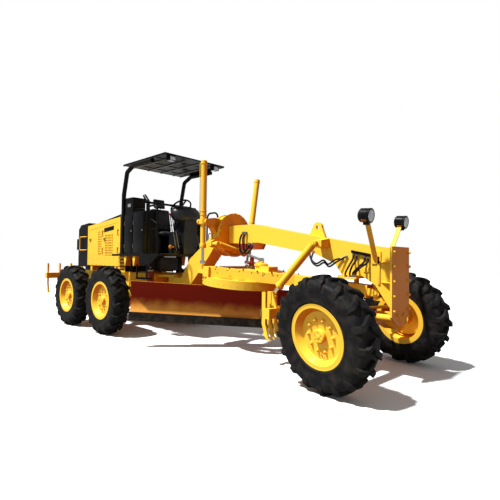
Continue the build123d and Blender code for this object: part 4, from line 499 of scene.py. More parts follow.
class Shape:
    """Gathers bmesh forms into one piece, then rides it on a CAD body."""

    SHARP = math.radians(38)

    def __init__(self, name: str) -> None:
        """Start an empty piece.

        Args:
            name: the piece's name.
        """
        self.name = name
        self.mesh = bmesh.new()

    def rings(self, rows: list[list[Vector]], capped: bool = True, looped: bool = False) -> None:
        """Skin rows of points that all have the same count, each row a closed ring.

        Args:
            rows: the rings, in order.
            capped: close the first and last ring with a face.
            looped: join the last ring to the first.
        """
        made = [[self.mesh.verts.new(point) for point in row] for row in rows]
        pairs = list(zip(made, made[1:]))
        if looped:
            pairs.append((made[-1], made[0]))
        for low, high in pairs:
            count = len(low)
            for index in range(count):
                after = (index + 1) % count
                self.mesh.faces.new((low[index], low[after], high[after], high[index]))
        if capped and not looped:
            self.mesh.faces.new(list(reversed(made[0])))
            self.mesh.faces.new(made[-1])

    def box(self, low: Point, high: Point, bevel: float = 0.0) -> None:
        """Add a block between two corners, with rounded edges.

        Args:
            low: lowest corner.
            high: highest corner.
            bevel: size of the edge rounding.
        """
        (x0, y0, z0), (x1, y1, z1) = low, high
        corners = [(x0, y0), (x1, y0), (x1, y1), (x0, y1)]
        self.prism([Vector((x, y, z0)) for x, y in corners], Vector((0, 0, z1 - z0)), bevel)

    def prism(self, outline: list[Vector], step: Vector, bevel: float = 0.0) -> None:
        """Add a plate: an outline moved along a step, with rounded edges.

        Args:
            outline: the flat outline.
            step: the way and length that it is drawn out.
            bevel: size of the edge rounding.
        """
        fresh = bmesh.new()
        low = [fresh.verts.new(p) for p in outline]
        high = [fresh.verts.new(p + step) for p in outline]
        count = len(low)
        for index in range(count):
            after = (index + 1) % count
            fresh.faces.new((low[index], low[after], high[after], high[index]))
        fresh.faces.new(list(reversed(low)))
        fresh.faces.new(high)
        bmesh.ops.recalc_face_normals(fresh, faces=fresh.faces)
        if bevel > 0:
            bmesh.ops.bevel(fresh, geom=fresh.edges[:], offset=bevel, segments=2, profile=0.5, affect="EDGES")
        self.take(fresh)

    def take(self, fresh: bmesh.types.BMesh) -> None:
        """Copy another bmesh into this piece and free it.

        Args:
            fresh: the bmesh to take in.
        """
        holder = bpy.data.meshes.new("holder")
        fresh.to_mesh(holder)
        fresh.free()
        self.mesh.from_mesh(holder)
        bpy.data.meshes.remove(holder)

    def turned(self, origin: Vector, axis: Vector, profile: Section, steps: int = 32,
               capped: bool = True) -> None:
        """Add a turned form.

        Args:
            origin: point on the axis where along is 0.
            axis: direction of the axis.
            profile: rows of radius and along.
            steps: facets round the axis.
            capped: close the two ends.
        """
        axis = axis.normalized()
        side = axis.orthogonal().normalized()
        other = axis.cross(side)
        ways = [side * math.cos(angle) + other * math.sin(angle) for angle in turns(steps)]
        rows = [[origin + axis * along + way * radius for way in ways] for radius, along in profile]
        self.rings(rows, capped)

    def bolt(self, seat: Vector, axis: Vector, across: float, washer: bool = True) -> None:
        """Add a hexagon head on its washer.

        Args:
            seat: where it stands on the surface.
            axis: the way it stands out.
            across: width across the corners.
            washer: put a washer under it.
        """
        half = across / 2
        if washer:
            self.turned(seat, axis, [(half * 1.45, -0.001), (half * 1.45, across * 0.12)], 16)
        self.turned(seat, axis, [(half, 0.0), (half, across * 0.55), (half * 0.8, across * 0.68)], 6)

    def bolts(self, start: Vector, end: Vector, count: int, axis: Vector, across: float) -> None:
        """Add a straight row of bolts.

        Args:
            start: seat of the first bolt.
            end: seat of the last bolt.
            count: how many bolts.
            axis: the way they stand out.
            across: width across the corners.
        """
        for index in range(count):
            self.bolt(start.lerp(end, index / max(count - 1, 1)), axis, across)

    def plate(self, outline: Section, y: float, thick: float, bevel: float = 0.002) -> None:
        """Add a plate with an outline in X and Z.

        Args:
            outline: rows of X and Z.
            y: where one face lies.
            thick: thickness towards +Y, or towards -Y when negative.
            bevel: size of the edge rounding.
        """
        self.prism([Vector((x, y, z)) for x, z in outline], Vector((0, thick, 0)), bevel)

    def pipe(self, points: list[Vector], radius: float, sides: int = 12) -> None:
        """Add a round pipe through points, with smoothly turned corners.

        Args:
            points: places along the pipe.
            radius: the pipe's radius.
            sides: facets round it.
        """
        rows = []
        side = None
        for index, point in enumerate(points):
            before, after = points[max(index - 1, 0)], points[min(index + 1, len(points) - 1)]
            run = (after - before).normalized()
            side = run.orthogonal() if side is None else side - run * side.dot(run)
            side.normalize()
            other = run.cross(side)
            rows.append([point + (side * math.cos(a) + other * math.sin(a)) * radius for a in turns(sides)])
        self.rings(rows)

    def finish(self, shop: Paintshop, finish: Finish, body: str) -> bpy.types.Object:
        """Turn the gathered forms into a riding object.

        Args:
            shop: where materials come from.
            finish: the piece's finish.
            body: CAD body that it rides on.

        Returns:
            The new object.
        """
        bmesh.ops.recalc_face_normals(self.mesh, faces=self.mesh.faces)
        for face in self.mesh.faces:
            face.smooth = True
        for edge in self.mesh.edges:
            if len(edge.link_faces) != 2 or edge.calc_face_angle(0.0) > self.SHARP:
                edge.smooth = False
        data = bpy.data.meshes.new(self.name)
        self.mesh.to_mesh(data)
        self.mesh.free()
        data.materials.append(shop.get(finish))
        piece = bpy.data.objects.new(self.name, data)
        bpy.context.scene.collection.objects.link(piece)
        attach(piece, body)
        return piece


def finish_all(shop: Paintshop, body: str, *pairs: tuple[Shape, Finish]) -> Pieces:
    """Finish shapes that ride on the same body.

    Args:
        shop: where materials come from.
        body: CAD body that they ride on.
        pairs: each shape with its finish.

    Returns:
        The new pieces, in the same order.
    """
    return [shape.finish(shop, finish, body) for shape, finish in pairs]


def turns(count: int, start: float = 0.0) -> list[float]:
    """Give even steps round a full turn.

    Args:
        count: how many steps.
        start: where the first one lies, in steps.

    Returns:
        The angles, in radians.
    """
    return [2 * math.pi * (index + start) / count for index in range(count)]


def places(*rows: Point) -> list[Vector]:
    """Turn rows of X, Y and Z into points."""
    return [Vector(row) for row in rows]


def rounded(points: list[Vector], radius: float, steps: int = 6) -> list[Vector]:
    """Round the corners of a run of straight stretches.

    Args:
        points: the corners.
        radius: how far from a corner the rounding starts.
        steps: points in each rounding.

    Returns:
        Points along the rounded run.
    """
    made = [points[0]]
    for before, corner, after in zip(points, points[1:], points[2:]):
        start = corner + (before - corner).normalized() * radius
        end = corner + (after - corner).normalized() * radius
        for step in range(steps + 1):
            share = step / steps
            made.append(start.lerp(corner, share).lerp(corner.lerp(end, share), share))
    made.append(points[-1])
    return made


@dataclass
class Rig:
    """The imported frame's joints and nodes, looked up by name.

    Args:
        joints: the frame's joints by their names.
    """

    joints: dict[str, dict]

    def low(self, node: str) -> Vector:
        """Give the lowest corner of a node."""
        return Vector(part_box(node)[0])

    def high(self, node: str) -> Vector:
        """Give the highest corner of a node."""
        return Vector(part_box(node)[1])

    def place(self, name: str) -> Vector:
        """Give a joint's place."""
        return Vector(self.joints[name]["pos_m"])

    def axis(self, name: str) -> Vector:
        """Give a joint's axis."""
        return Vector(self.joints[name]["axis"]).normalized()


@dataclass
class Assembly:
    """A group of pieces that is built on the frame.

    Args:
        rig: the frame's joints and nodes.
        shop: where materials come from.
    """

    rig: Rig
    shop: Paintshop


@dataclass
class WheelPlace:
    """Where one wheel sits and which way it faces.

    Args:
        centre: middle of the wheel.
        outward: unit vector along the axle, away from the machine.
        body: CAD body of the wheel.
        label: words for piece names.
    """

    centre: Vector
    outward: Vector
    body: str
    label: str

    def __post_init__(self) -> None:
        """Work out the wheel's own downward and forward directions."""
        down = Vector((0, 0, -1))
        self.down = (down - self.outward * down.dot(self.outward)).normalized()
        self.ahead = self.down.cross(Vector((0, 1, 0))).normalized()
        self.ahead = (self.ahead - self.outward * self.ahead.dot(self.outward)).normalized()

    def point(self, across: float, radius: float, angle: float) -> Vector:
        """Give a point of the wheel.

        Args:
            across: distance outwards from the middle.
            radius: distance from the axle.
            angle: turn from straight down, in radians.

        Returns:
            The point.
        """
        spoke = self.down * math.cos(angle) + self.ahead * math.sin(angle)
        return self.centre + self.outward * across + spoke * radius

    def loops(self, section: Section, steps: int) -> list[list[Vector]]:
        """Give a section at even steps round the wheel.

        Args:
            section: rows of distance outwards and radius.
            steps: how many times it is set.

        Returns:
            The points, one row for each step.
        """
        return [[self.point(across, radius, angle) for across, radius in section] for angle in turns(steps)]


@dataclass
class GraderTyre:
    """Tyre with a rounded carcass, sidewall ribs and two rows of slanted lugs.

    Args:
        radius: radius over the lugs.
        bead_half: half the distance between the beads' outer sides.
        bead_radius: radius of the beads' inside.
        lug_count: lugs in each of the two rows.
        steps: facets round the tyre.
        profile: rows of distance across and radius, from one bead to the middle of the tread.
        lug_rows: rows across one lug: distance across, shift ahead, half width, top and base radius.
    """

    radius: float = 0.640
    bead_half: float = 0.124
    bead_radius: float = 0.306
    lug_count: int = 17
    steps: int = 96
    profile: Section = (
        (-0.124, 0.312),
        (-0.137, 0.362),
        (-0.150, 0.372),
        (-0.153, 0.386),
        (-0.149, 0.398),
        (-0.158, 0.432),
        (-0.1635, 0.470),
        (-0.1645, 0.500),
        (-0.1650, 0.506),
        (-0.1620, 0.514),
        (-0.159, 0.540),
        (-0.150, 0.567),
        (-0.136, 0.585),
        (-0.100, 0.596),
        (0.0, 0.601),
    )
    lug_rows: tuple[tuple[float, float, float, float, float], ...] = (
        (-0.014, 0.092, 0.024, 0.6385, 0.590),
        (0.030, 0.070, 0.026, 0.6395, 0.590),
        (0.078, 0.028, 0.030, 0.6395, 0.588),
        (0.118, 0.000, 0.034, 0.634, 0.580),
        (0.148, -0.002, 0.037, 0.612, 0.560),
        (0.1640, -0.002, 0.036, 0.578, 0.540),
        (0.1648, -0.002, 0.028, 0.530, 0.505),
    )

    def build(self, wheel: WheelPlace, shop: Paintshop) -> bpy.types.Object:
        """Build the tyre of one wheel.

        Args:
            wheel: where it sits.
            shop: where materials come from.

        Returns:
            The tyre.
        """
        shape = Shape(f"dressed_tyre_{wheel.label}")
        half = list(self.profile)
        full = half + [(-across, radius) for across, radius in reversed(half[:-1])]
        full += [(self.bead_half, self.bead_radius), (-self.bead_half, self.bead_radius)]
        shape.rings(wheel.loops(full, self.steps), capped=False, looped=True)
        pitch = 2 * math.pi / self.lug_count
        for index in range(self.lug_count):
            for side in (1, -1):
                self.add_lug(shape, wheel, side, pitch * (index + (0.5 if side < 0 else 0.0)))
        return shape.finish(shop, Finish.RUBBER, wheel.body)

    def add_lug(self, shape: Shape, wheel: WheelPlace, side: int, turn: float) -> None:
        """Add one lug with softened edges.

        Args:
            shape: the tyre's shape.
            wheel: where the tyre sits.
            side: 1 for the outer row, -1 for the inner row.
            turn: the lug's turn about the axle, in radians.
        """
        fresh = bmesh.new()
        rows = []
        for across, shift, half, top, base in self.lug_rows:
            row = []
            for reach, radius in ((-1.25, base), (-0.92, top), (0.92, top), (1.25, base)):
                angle = turn + (shift + reach * half) / self.radius
                row.append(fresh.verts.new(wheel.point(side * across, radius, angle)))
            rows.append(row)
        for low, high in zip(rows, rows[1:]):
            for index in range(4):
                after = (index + 1) % 4
                fresh.faces.new((low[index], low[after], high[after], high[index]))
        fresh.faces.new(list(reversed(rows[0])))
        fresh.faces.new(rows[-1])
        bmesh.ops.recalc_face_normals(fresh, faces=fresh.faces)
        edges = [e for e in fresh.edges if e.calc_face_angle(0.0) > math.radians(40)]
        bmesh.ops.bevel(fresh, geom=edges, offset=0.005, segments=2, profile=0.6, affect="EDGES")
        shape.take(fresh)


@dataclass
class WheelFittings:
    """Nuts, hub cap, lock ring and valve on a rim.

    Args:
        nut_count: wheel nuts.
        nut_circle: radius of the circle that they stand on.
        nut_across: width of a nut across the corners.
        disc_face: how far the wheel disc's face lies outwards from the wheel's middle.
        cap_face: how far the hub cap's face lies outwards.
        cap_radius: radius of the hub cap.
        lock_ring: rows of distance outwards and radius.
    """

    nut_count: int = 10
    nut_circle: float = 0.172
    nut_across: float = 0.036
    disc_face: float = 0.064
    cap_face: float = 0.116
    cap_radius: float = 0.074
    lock_ring: Section = (
        (0.1405, 0.340),
        (0.1435, 0.344),
        (0.1435, 0.354),
        (0.1405, 0.357),
    )

    def build(self, wheel: WheelPlace, shop: Paintshop) -> Pieces:
        """Build the fittings of one wheel.

        Args:
            wheel: where it sits.
            shop: where materials come from.

        Returns:
            The new pieces.
        """
        nuts = Shape(f"wheel_nuts_{wheel.label}")
        for angle in turns(self.nut_count, 0.5):
            seat = wheel.point(self.disc_face, self.nut_circle, angle)
            nuts.bolt(seat, wheel.outward, self.nut_across)
            nuts.turned(seat, wheel.outward, [(0.0085, 0.0), (0.0085, 0.034), (0.0060, 0.037)], 12)
        cap = Shape(f"hub_cap_{wheel.label}")
        face = wheel.point(self.cap_face, 0.0, 0.0)
        r = self.cap_radius
        profile = [(r + 0.006, -0.030), (r + 0.006, -0.012), (r, -0.004), (r - 0.008, 0.002),
                   (r - 0.016, 0.002), (r - 0.020, -0.003), (0.030, -0.003), (0.026, 0.004), (0.012, 0.008)]
        cap.turned(face, wheel.outward, profile, 40)
        for angle in turns(6):
            cap.bolt(wheel.point(self.cap_face - 0.003, 0.045, angle), wheel.outward, 0.014, washer=False)
        ring = Shape(f"lock_ring_{wheel.label}")
        ring.rings(wheel.loops(self.lock_ring, 72), capped=False, looped=True)
        valve = Shape(f"tyre_valve_{wheel.label}")
        root, tip = wheel.point(0.072, 0.245, 0.12), wheel.point(0.095, 0.205, 0.10)
        valve.pipe(rounded([root, root.lerp(tip, 0.5) + wheel.outward * 0.012, tip], 0.012), 0.005, 10)
        valve.turned(tip, tip - root, [(0.0065, -0.004), (0.0065, 0.012), (0.004, 0.015)], 10)
        return [
            nuts.finish(shop, Finish.RIM_YELLOW, wheel.body),
            cap.finish(shop, Finish.RIM_YELLOW, wheel.body),
            ring.finish(shop, Finish.RIM_YELLOW, wheel.body),
            valve.finish(shop, Finish.STEEL, wheel.body),
        ]


@dataclass
class Running(Assembly):
    """All six wheels: tyres over their CAD nodes, and the rims' fittings.

    Args:
        tyre: the tyre that every wheel carries.
        fittings: the fittings of every rim.
    """

    tyre: GraderTyre = field(default_factory=GraderTyre)
    fittings: WheelFittings = field(default_factory=WheelFittings)

    def places(self) -> list[WheelPlace]:
        """Give the six wheels' places.

        Returns:
            One place for each wheel.
        """
        made = []
        for side, sign in (("right", -1), ("left", 1)):
            for kind in ("steer", "front_drive", "rear_drive"):
                joint, body = f"{kind}_wheel_spin_{side}", f"{kind}_wheel_{side}"
                outward = self.rig.axis(joint) * sign
                made.append(WheelPlace(self.rig.place(joint), outward, body, f"{kind}_{side}"))
        return made

    def build(self) -> Pieces:
        """Build every wheel's tyre and fittings.

        Returns:
            The new pieces.
        """
        made = []
        for wheel in self.places():
            tyre = self.tyre.build(wheel, self.shop)
            node = wheel.label.rsplit("_", 1)
            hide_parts(f"{node[0]}_tyre_{node[1]}")
            made.append(tyre)
            made.extend(self.fittings.build(wheel, self.shop))
        return made


@dataclass
class Hose:
    """A hydraulic hose that hangs free between two crimped ends.

    Args:
        name: the piece's name.
        body: CAD body that it rides on.
        corners: places that the hose curves through.
        radius: outer radius.
        steps: points between two corners.
    """

    name: str
    body: str
    corners: list[Vector]
    radius: float = 0.010
    steps: int = 14

    def line(self) -> list[Vector]:
        """Give close points along the smooth line.

        Returns:
            Points from one end to the other.
        """
        ends = [self.corners[0], *self.corners, self.corners[-1]]
        made = []
        for a, b, c, d in zip(ends, ends[1:], ends[2:], ends[3:]):
            for step in range(self.steps):
                t = step / self.steps
                made.append(0.5 * ((2 * b) + (c - a) * t + (2 * a - 5 * b + 4 * c - d) * t * t
                                   + (3 * b - a - 3 * c + d) * t ** 3))
        made.append(self.corners[-1])
        return made

    def build(self, shop: Paintshop) -> Pieces:
        """Build the hose and its end fittings.

        Args:
            shop: where materials come from.

        Returns:
            The hose and its fittings.
        """
        line = self.line()
        hose = Shape(self.name)
        hose.pipe(line, self.radius, 12)
        piece = hose.finish(shop, Finish.HOSE, self.body)
        ends = Shape(f"{self.name}_ends")
        r = self.radius
        for place, inner in ((line[0], line[1]), (line[-1], line[-2])):
            way = (inner - place).normalized()
            ends.turned(place - way * 0.012, way, [(r * 1.5, 0.0), (r * 1.5, 0.014), (r * 1.25, 0.016),
                                                   (r * 1.25, 0.040), (r * 1.05, 0.043)], 6)
        return [piece, ends.finish(shop, Finish.STEEL, self.body)]


@dataclass
class Nose(Assembly):
    """Bolts, ribs, brake lines and lamps at the front of the gooseneck.

    Args:
        plate_half: half the width of the bolted plate.
        plate_edge: how far its bolts stay from its edges.
        bolt_across: width of the bolt heads across the corners.
        neck_side: half the width of the neck.
        lamp_radius: radius of a lamp.
        brake_lines: rows of X and Z at the bar, X at the foot and bulge outwards.
        slack_line: rows of X, Z and distance outwards.
    """

    plate_half: float = 0.250
    plate_edge: float = 0.028
    bolt_across: float = 0.026
    neck_side: float = 0.140
    lamp_radius: float = 0.080
    brake_lines: tuple[tuple[float, float, float, float], ...] = (
        (3.690, 1.540, 3.640, 0.055),
        (3.735, 1.530, 3.700, 0.085),
        (3.845, 1.508, 3.745, 0.070),
        (3.888, 1.500, 3.775, 0.100),
    )
    slack_line: tuple[Point, ...] = (
        (3.07, 1.470, 0.060),
        (3.17, 1.400, 0.075),
        (3.27, 1.445, 0.060),
        (3.36, 1.395, 0.080),
        (3.45, 1.455, 0.050),
    )

    def build(self) -> Pieces:
        """Build every piece of the nose.

        Returns:
            The new pieces.
        """
        return [*self.plate_parts(), *self.lines(), *self.lamps()]

    def plate_parts(self) -> Pieces:
        """Build bolt heads, side gussets and the upright ribs.

        Returns:
            The new pieces.
        """
        face = self.rig.high("front_frame").x
        across = self.plate_half - self.plate_edge
        bolts = Shape("nose_bolts")
        for side in (-1, 1):
            top, foot = places((face, side * across, 1.55), (face, side * across, 0.86))
            bolts.bolts(top, foot, 5, FORWARD, self.bolt_across)
        bolts.bolts(*places((face, -0.09, 0.80), (face, 0.09, 0.80)), 2, FORWARD, self.bolt_across)
        ribs = Shape("nose_ribs")
        for side in (-1, 1):
            inner, outer = side * (self.neck_side + 0.0005), side * 0.238
            for z in (1.18, 1.42):
                outline = places((face - 0.026, inner, z), (face - 0.026, outer, z), (face - 0.20, inner, z))
                ribs.prism(outline, Vector((0, 0, 0.014)), 0.002)
            for back, front, proud, foot, top in (
                (0.235, 0.205, 0.156, 1.16, 1.50),
                (0.42, 0.34, 0.150, 1.30, 1.36),
            ):
                near, far = sorted((inner, side * proud))
                ribs.box((face - back, near, foot), (face - front, far, top), 0.003)
        return finish_all(self.shop, "front_frame", (bolts, Finish.YELLOW), (ribs, Finish.YELLOW))

    def lines(self) -> Pieces:
        """Build the bulkhead bar on the neck's side with its hoses down to the bolster.

        Returns:
            The new pieces.
        """
        side = -self.neck_side
        bar = Shape("line_bulkhead")
        outline = [(3.660, 1.578), (3.915, 1.530), (3.915, 1.492), (3.660, 1.545)]
        bar.plate(outline, side - 0.0005, -0.034, 0.006)
        for x, z in ((3.685, 1.556), (3.735, 1.546), (3.845, 1.524), (3.890, 1.515)):
            bar.bolt(Vector((x, side - 0.034, z)), -LEFTWARD, 0.026)
        made = [bar.finish(self.shop, Finish.BLACK, "front_frame")]
        for index, (x, z, foot_x, bulge) in enumerate(self.brake_lines):
            top, foot = places((x, side - 0.020, z), (foot_x, -0.262, 1.235))
            middle = top.lerp(foot, 0.5) + Vector((0.01, -bulge * 0.6, -0.01))
            upper = top + Vector((0.0, -0.014, -0.075))
            lower = foot + Vector((0.0, -0.004, 0.055))
            corners = [top, upper, middle, lower, foot]
            hose = Hose(f"brake_line_{index + 1}", "front_frame", corners, 0.0125)
            made.extend(hose.build(self.shop))
        lug = Shape("line_lug")
        lug.box((3.610, -0.282, 1.215), (3.795, -0.2505, 1.238), 0.003)
        made.append(lug.finish(self.shop, Finish.YELLOW, "front_frame"))
        for index, drop in enumerate((0.0, 0.030)):
            start = Vector((3.02 + drop * 2, side - 0.012, 1.590 - drop))
            slack = [Vector((x + drop, side - out - drop * 0.8, z - drop)) for x, z, out in self.slack_line]
            end = Vector((3.53 + drop * 2, side - 0.012, 1.470 + drop))
            hose = Hose(f"scarifier_line_{index + 1}", "front_frame", [start, *slack, end], 0.0120)
            made.extend(hose.build(self.shop))
        return made

    def lamps(self) -> Pieces:
        """Build the shells, lenses, reflectors, bezels and cooling fins of the two lamps.

        Returns:
            The new pieces.
        """
        made = []
        high = self.rig.high("work_lamps")
        aim = Vector((1.0, 0.0, -0.112)).normalized()
        r = self.lamp_radius
        for side, label in ((-1, "right"), (1, "left")):
            centre = Vector((high.x - 0.054, side * (high.y - r), high.z - r))
            face = centre + aim * 0.0545
            shell = Shape(f"lamp_shell_{label}")
            shell.turned(centre, aim, [(r * 0.45, -0.0880), (r * 0.84, -0.0810), (r + 0.0016, -0.066),
                                       (r + 0.0020, -0.050), (r + 0.0020, 0.052), (r - 0.004, 0.0546)], 40)
            foot_low = centre + Vector((-0.034, -0.030, -r - 0.030))
            foot_high = centre + Vector((0.026, 0.030, -r + 0.006))
            shell.box(tuple(foot_low), tuple(foot_high), 0.006)
            bezel = Shape(f"lamp_bezel_{label}")
            bezel.turned(face, aim, [(r + 0.004, -0.030), (r + 0.007, -0.024), (r + 0.007, 0.000),
                                     (r - 0.002, 0.006), (r - 0.010, 0.004), (r - 0.012, 0.0005)], 40)
            for angle in turns(3):
                out = LEFTWARD * math.cos(angle + 0.5) + UPWARD * math.sin(angle + 0.5)
                bezel.bolt(face + aim * 0.003 + out * (r - 0.003), aim, 0.008, washer=False)
            fins = Shape(f"lamp_fins_{label}")
            for step in range(6):
                fin = centre - aim * (0.022 - 0.011 * step)
                profile = [(r + 0.001, 0.0), (r + 0.004, 0.001), (r + 0.004, 0.004), (r + 0.001, 0.005)]
                fins.turned(fin, aim, profile, 32)
            glass_r = r - 0.011
            dish = Shape(f"lamp_reflector_{label}")
            profile = [(glass_r * 0.98, 0.0009), (glass_r * 0.55, 0.0052), (glass_r * 0.18, 0.0060)]
            dish.turned(face, aim, profile, 32)
            lens = Shape(f"lamp_lens_{label}")
            lens.turned(face, aim, [(glass_r, 0.0008), (glass_r, 0.003), (glass_r * 0.8, 0.008),
                                    (glass_r * 0.5, 0.011), (glass_r * 0.2, 0.0125)], 40)
            made.extend(finish_all(
                self.shop, "front_frame", (shell, Finish.BLACK), (bezel, Finish.BLACK), (fins, Finish.BLACK),
                (dish, Finish.REFLECTOR), (lens, Finish.LENS)))
        return made


@dataclass
class CircleDrive(Assembly):
    """Bolts of the drawbar and the circle, the circle's gearbox and motor, and the swivel joint.

    Args:
        bolt_across: width of the bolt heads across the corners.
        deck: height of the drawbar's top face over the ball's centre.
        rivet_count: small bolts round the circle's band.
        band_radius: outer radius of the band.
    """

    bolt_across: float = 0.022
    deck: float = 0.0805
    rivet_count: int = 40
    band_radius: float = 0.668

    def build(self) -> Pieces:
        """Build the pieces on the drawbar and the circle.

        Returns:
            The new pieces.
        """
        return [*self.drawbar_parts(), *self.circle_parts(), *self.swivel()]

    def on_drawbar(self, x: float, y: float, z: float) -> Vector:
        """Carry a point of the level drawbar through its pitch at rest.

        Args:
            x: distance behind the ball.
            y: distance to the left.
            z: height above the ball's centre.

        Returns:
            The point.
        """
        ball = self.rig.place("drawbar_pitch")
        lean = DRAWBAR_LEAN
        back, rise = -x * math.cos(lean) + z * math.sin(lean), x * math.sin(lean) + z * math.cos(lean)
        return ball + Vector((back, y, rise))

    def drawbar_up(self) -> Vector:
        """Give the way that is up for the drawbar."""
        return (self.on_drawbar(1, 0, 1) - self.on_drawbar(1, 0, 0)).normalized()

    def drawbar_parts(self) -> Pieces:
        """Build the rows of bolts on the drawbar's beams, the gearbox and the motor.

        Returns:
            The new pieces.
        """
        up = self.drawbar_up()
        bolts = Shape("drawbar_bolts")
        for side in (-1, 1):
            start = self.on_drawbar(1.34, side * 0.145, self.deck)
            end = self.on_drawbar(2.40, side * 0.565, self.deck)
            bolts.bolts(start, end, 6, up, self.bolt_across)
            out = (end - start).normalized().cross(up).normalized()
            if out.y * side < 0:
                out.negate()
            edge_start = self.on_drawbar(1.42, side * 0.2525, 0.055)
            edge_end = self.on_drawbar(2.38, side * 0.5965, 0.055)
            bolts.bolts(edge_start, edge_end, 6, out, self.bolt_across * 0.6)
        box = Shape("circle_gearbox")
        base = self.on_drawbar(1.96, -0.02, 0.150)
        box.turned(base, up, [(0.112, 0.0), (0.112, 0.014), (0.100, 0.020), (0.098, 0.034), (0.080, 0.044),
                              (0.050, 0.050), (0.050, 0.066), (0.040, 0.070)], 32)
        across = FORWARD.cross(up).normalized()
        ahead = up.cross(across)
        for angle in turns(8):
            seat = base + up * 0.014 + (across * math.cos(angle) + ahead * math.sin(angle)) * 0.105
            box.bolt(seat, up, 0.018, washer=False)
        motor = Shape("circle_motor")
        motor.turned(self.on_drawbar(1.78, 0.02, self.deck), up, [
            (0.078, 0.0), (0.078, 0.018), (0.062, 0.022), (0.062, 0.060), (0.050, 0.070), (0.030, 0.074)], 28)
        return finish_all(self.shop, "drawbar", (bolts, Finish.EDGE), (box, Finish.YELLOW),
                          (motor, Finish.YELLOW))

    def circle_parts(self) -> Pieces:
        """Build the small bolts round the circle's band.

        Returns:
            The new pieces.
        """
        axis = self.rig.axis("circle_turn")
        axis = axis if axis.z > 0 else -axis
        side = axis.cross(FORWARD).normalized()
        ahead = side.cross(axis)
        centre = self.on_drawbar(2.34, 0.0, -0.155)
        bolts = Shape("circle_bolts")
        for angle in turns(self.rivet_count):
            out = ahead * math.cos(angle) + side * math.sin(angle)
            bolts.bolt(centre + out * self.band_radius, out, 0.011, washer=False)
        return [bolts.finish(self.shop, Finish.YELLOW, "circle")]

    def swivel(self) -> Pieces:
        """Build the swivel joint over the circle with its yoke.

        Returns:
            The new pieces.
        """
        up = self.drawbar_up()
        foot = self.on_drawbar(2.16, -0.02, self.deck)
        base = Shape("swivel_base")
        base.turned(foot, up, [(0.085, 0.0), (0.085, 0.018), (0.060, 0.026), (0.060, 0.045)], 28)
        yoke = Shape("swivel_yoke")
        profile = [(0.046, 0.0), (0.046, 0.060), (0.034, 0.070), (0.034, 0.135), (0.022, 0.142)]
        yoke.turned(foot + up * 0.045, up, profile, 24)
        for side in (-1, 1):
            pin = [(0.018, 0.03), (0.018, 0.085), (0.012, 0.090)]
            yoke.turned(foot + up * 0.085, LEFTWARD * side, pin, 12)
        return finish_all(self.shop, "drawbar", (base, Finish.STEEL), (yoke, Finish.DARK_RED))


@dataclass
class BladeTrim(Assembly):
    """Plough bolts of the cutting edge.

    Args:
        bolt_count: bolts along the edge.
        bolt_radius: radius of a bolt's head.
        half_length: half the length of the edge.
        end_gap: how far the last bolt stays from the edge's end.
    """

    bolt_count: int = 24
    bolt_radius: float = 0.015
    half_length: float = 1.83
    end_gap: float = 0.06

    def build(self) -> Pieces:
        """Build the bolts.

        Returns:
            The new pieces.
        """
        low, high = self.rig.low("cutting_edge"), self.rig.high("cutting_edge")
        turn, lean = BLADE_TURN, DRAWBAR_LEAN
        ahead = Vector((math.cos(turn) * math.cos(lean), math.sin(turn), -math.cos(turn) * math.sin(lean)))
        face = ahead.normalized()
        flat = Vector((-math.sin(turn), math.cos(turn), 0.0))
        run = Vector((flat.x * math.cos(lean), flat.y, -flat.x * math.sin(lean))).normalized()
        up = face.cross(run).normalized()
        middle = (low + high) / 2 + face * 0.0104
        bolts = Shape("edge_bolts")
        half = self.half_length - self.end_gap
        r = self.bolt_radius
        for index in range(self.bolt_count):
            along = -half + 2 * half * index / (self.bolt_count - 1)
            seat = middle + run * along + up * 0.022
            bolts.turned(seat, face, [(r, -0.002), (r, 0.002), (r * 0.7, 0.0045)], 14)
        return [bolts.finish(self.shop, Finish.EDGE, "blade")]


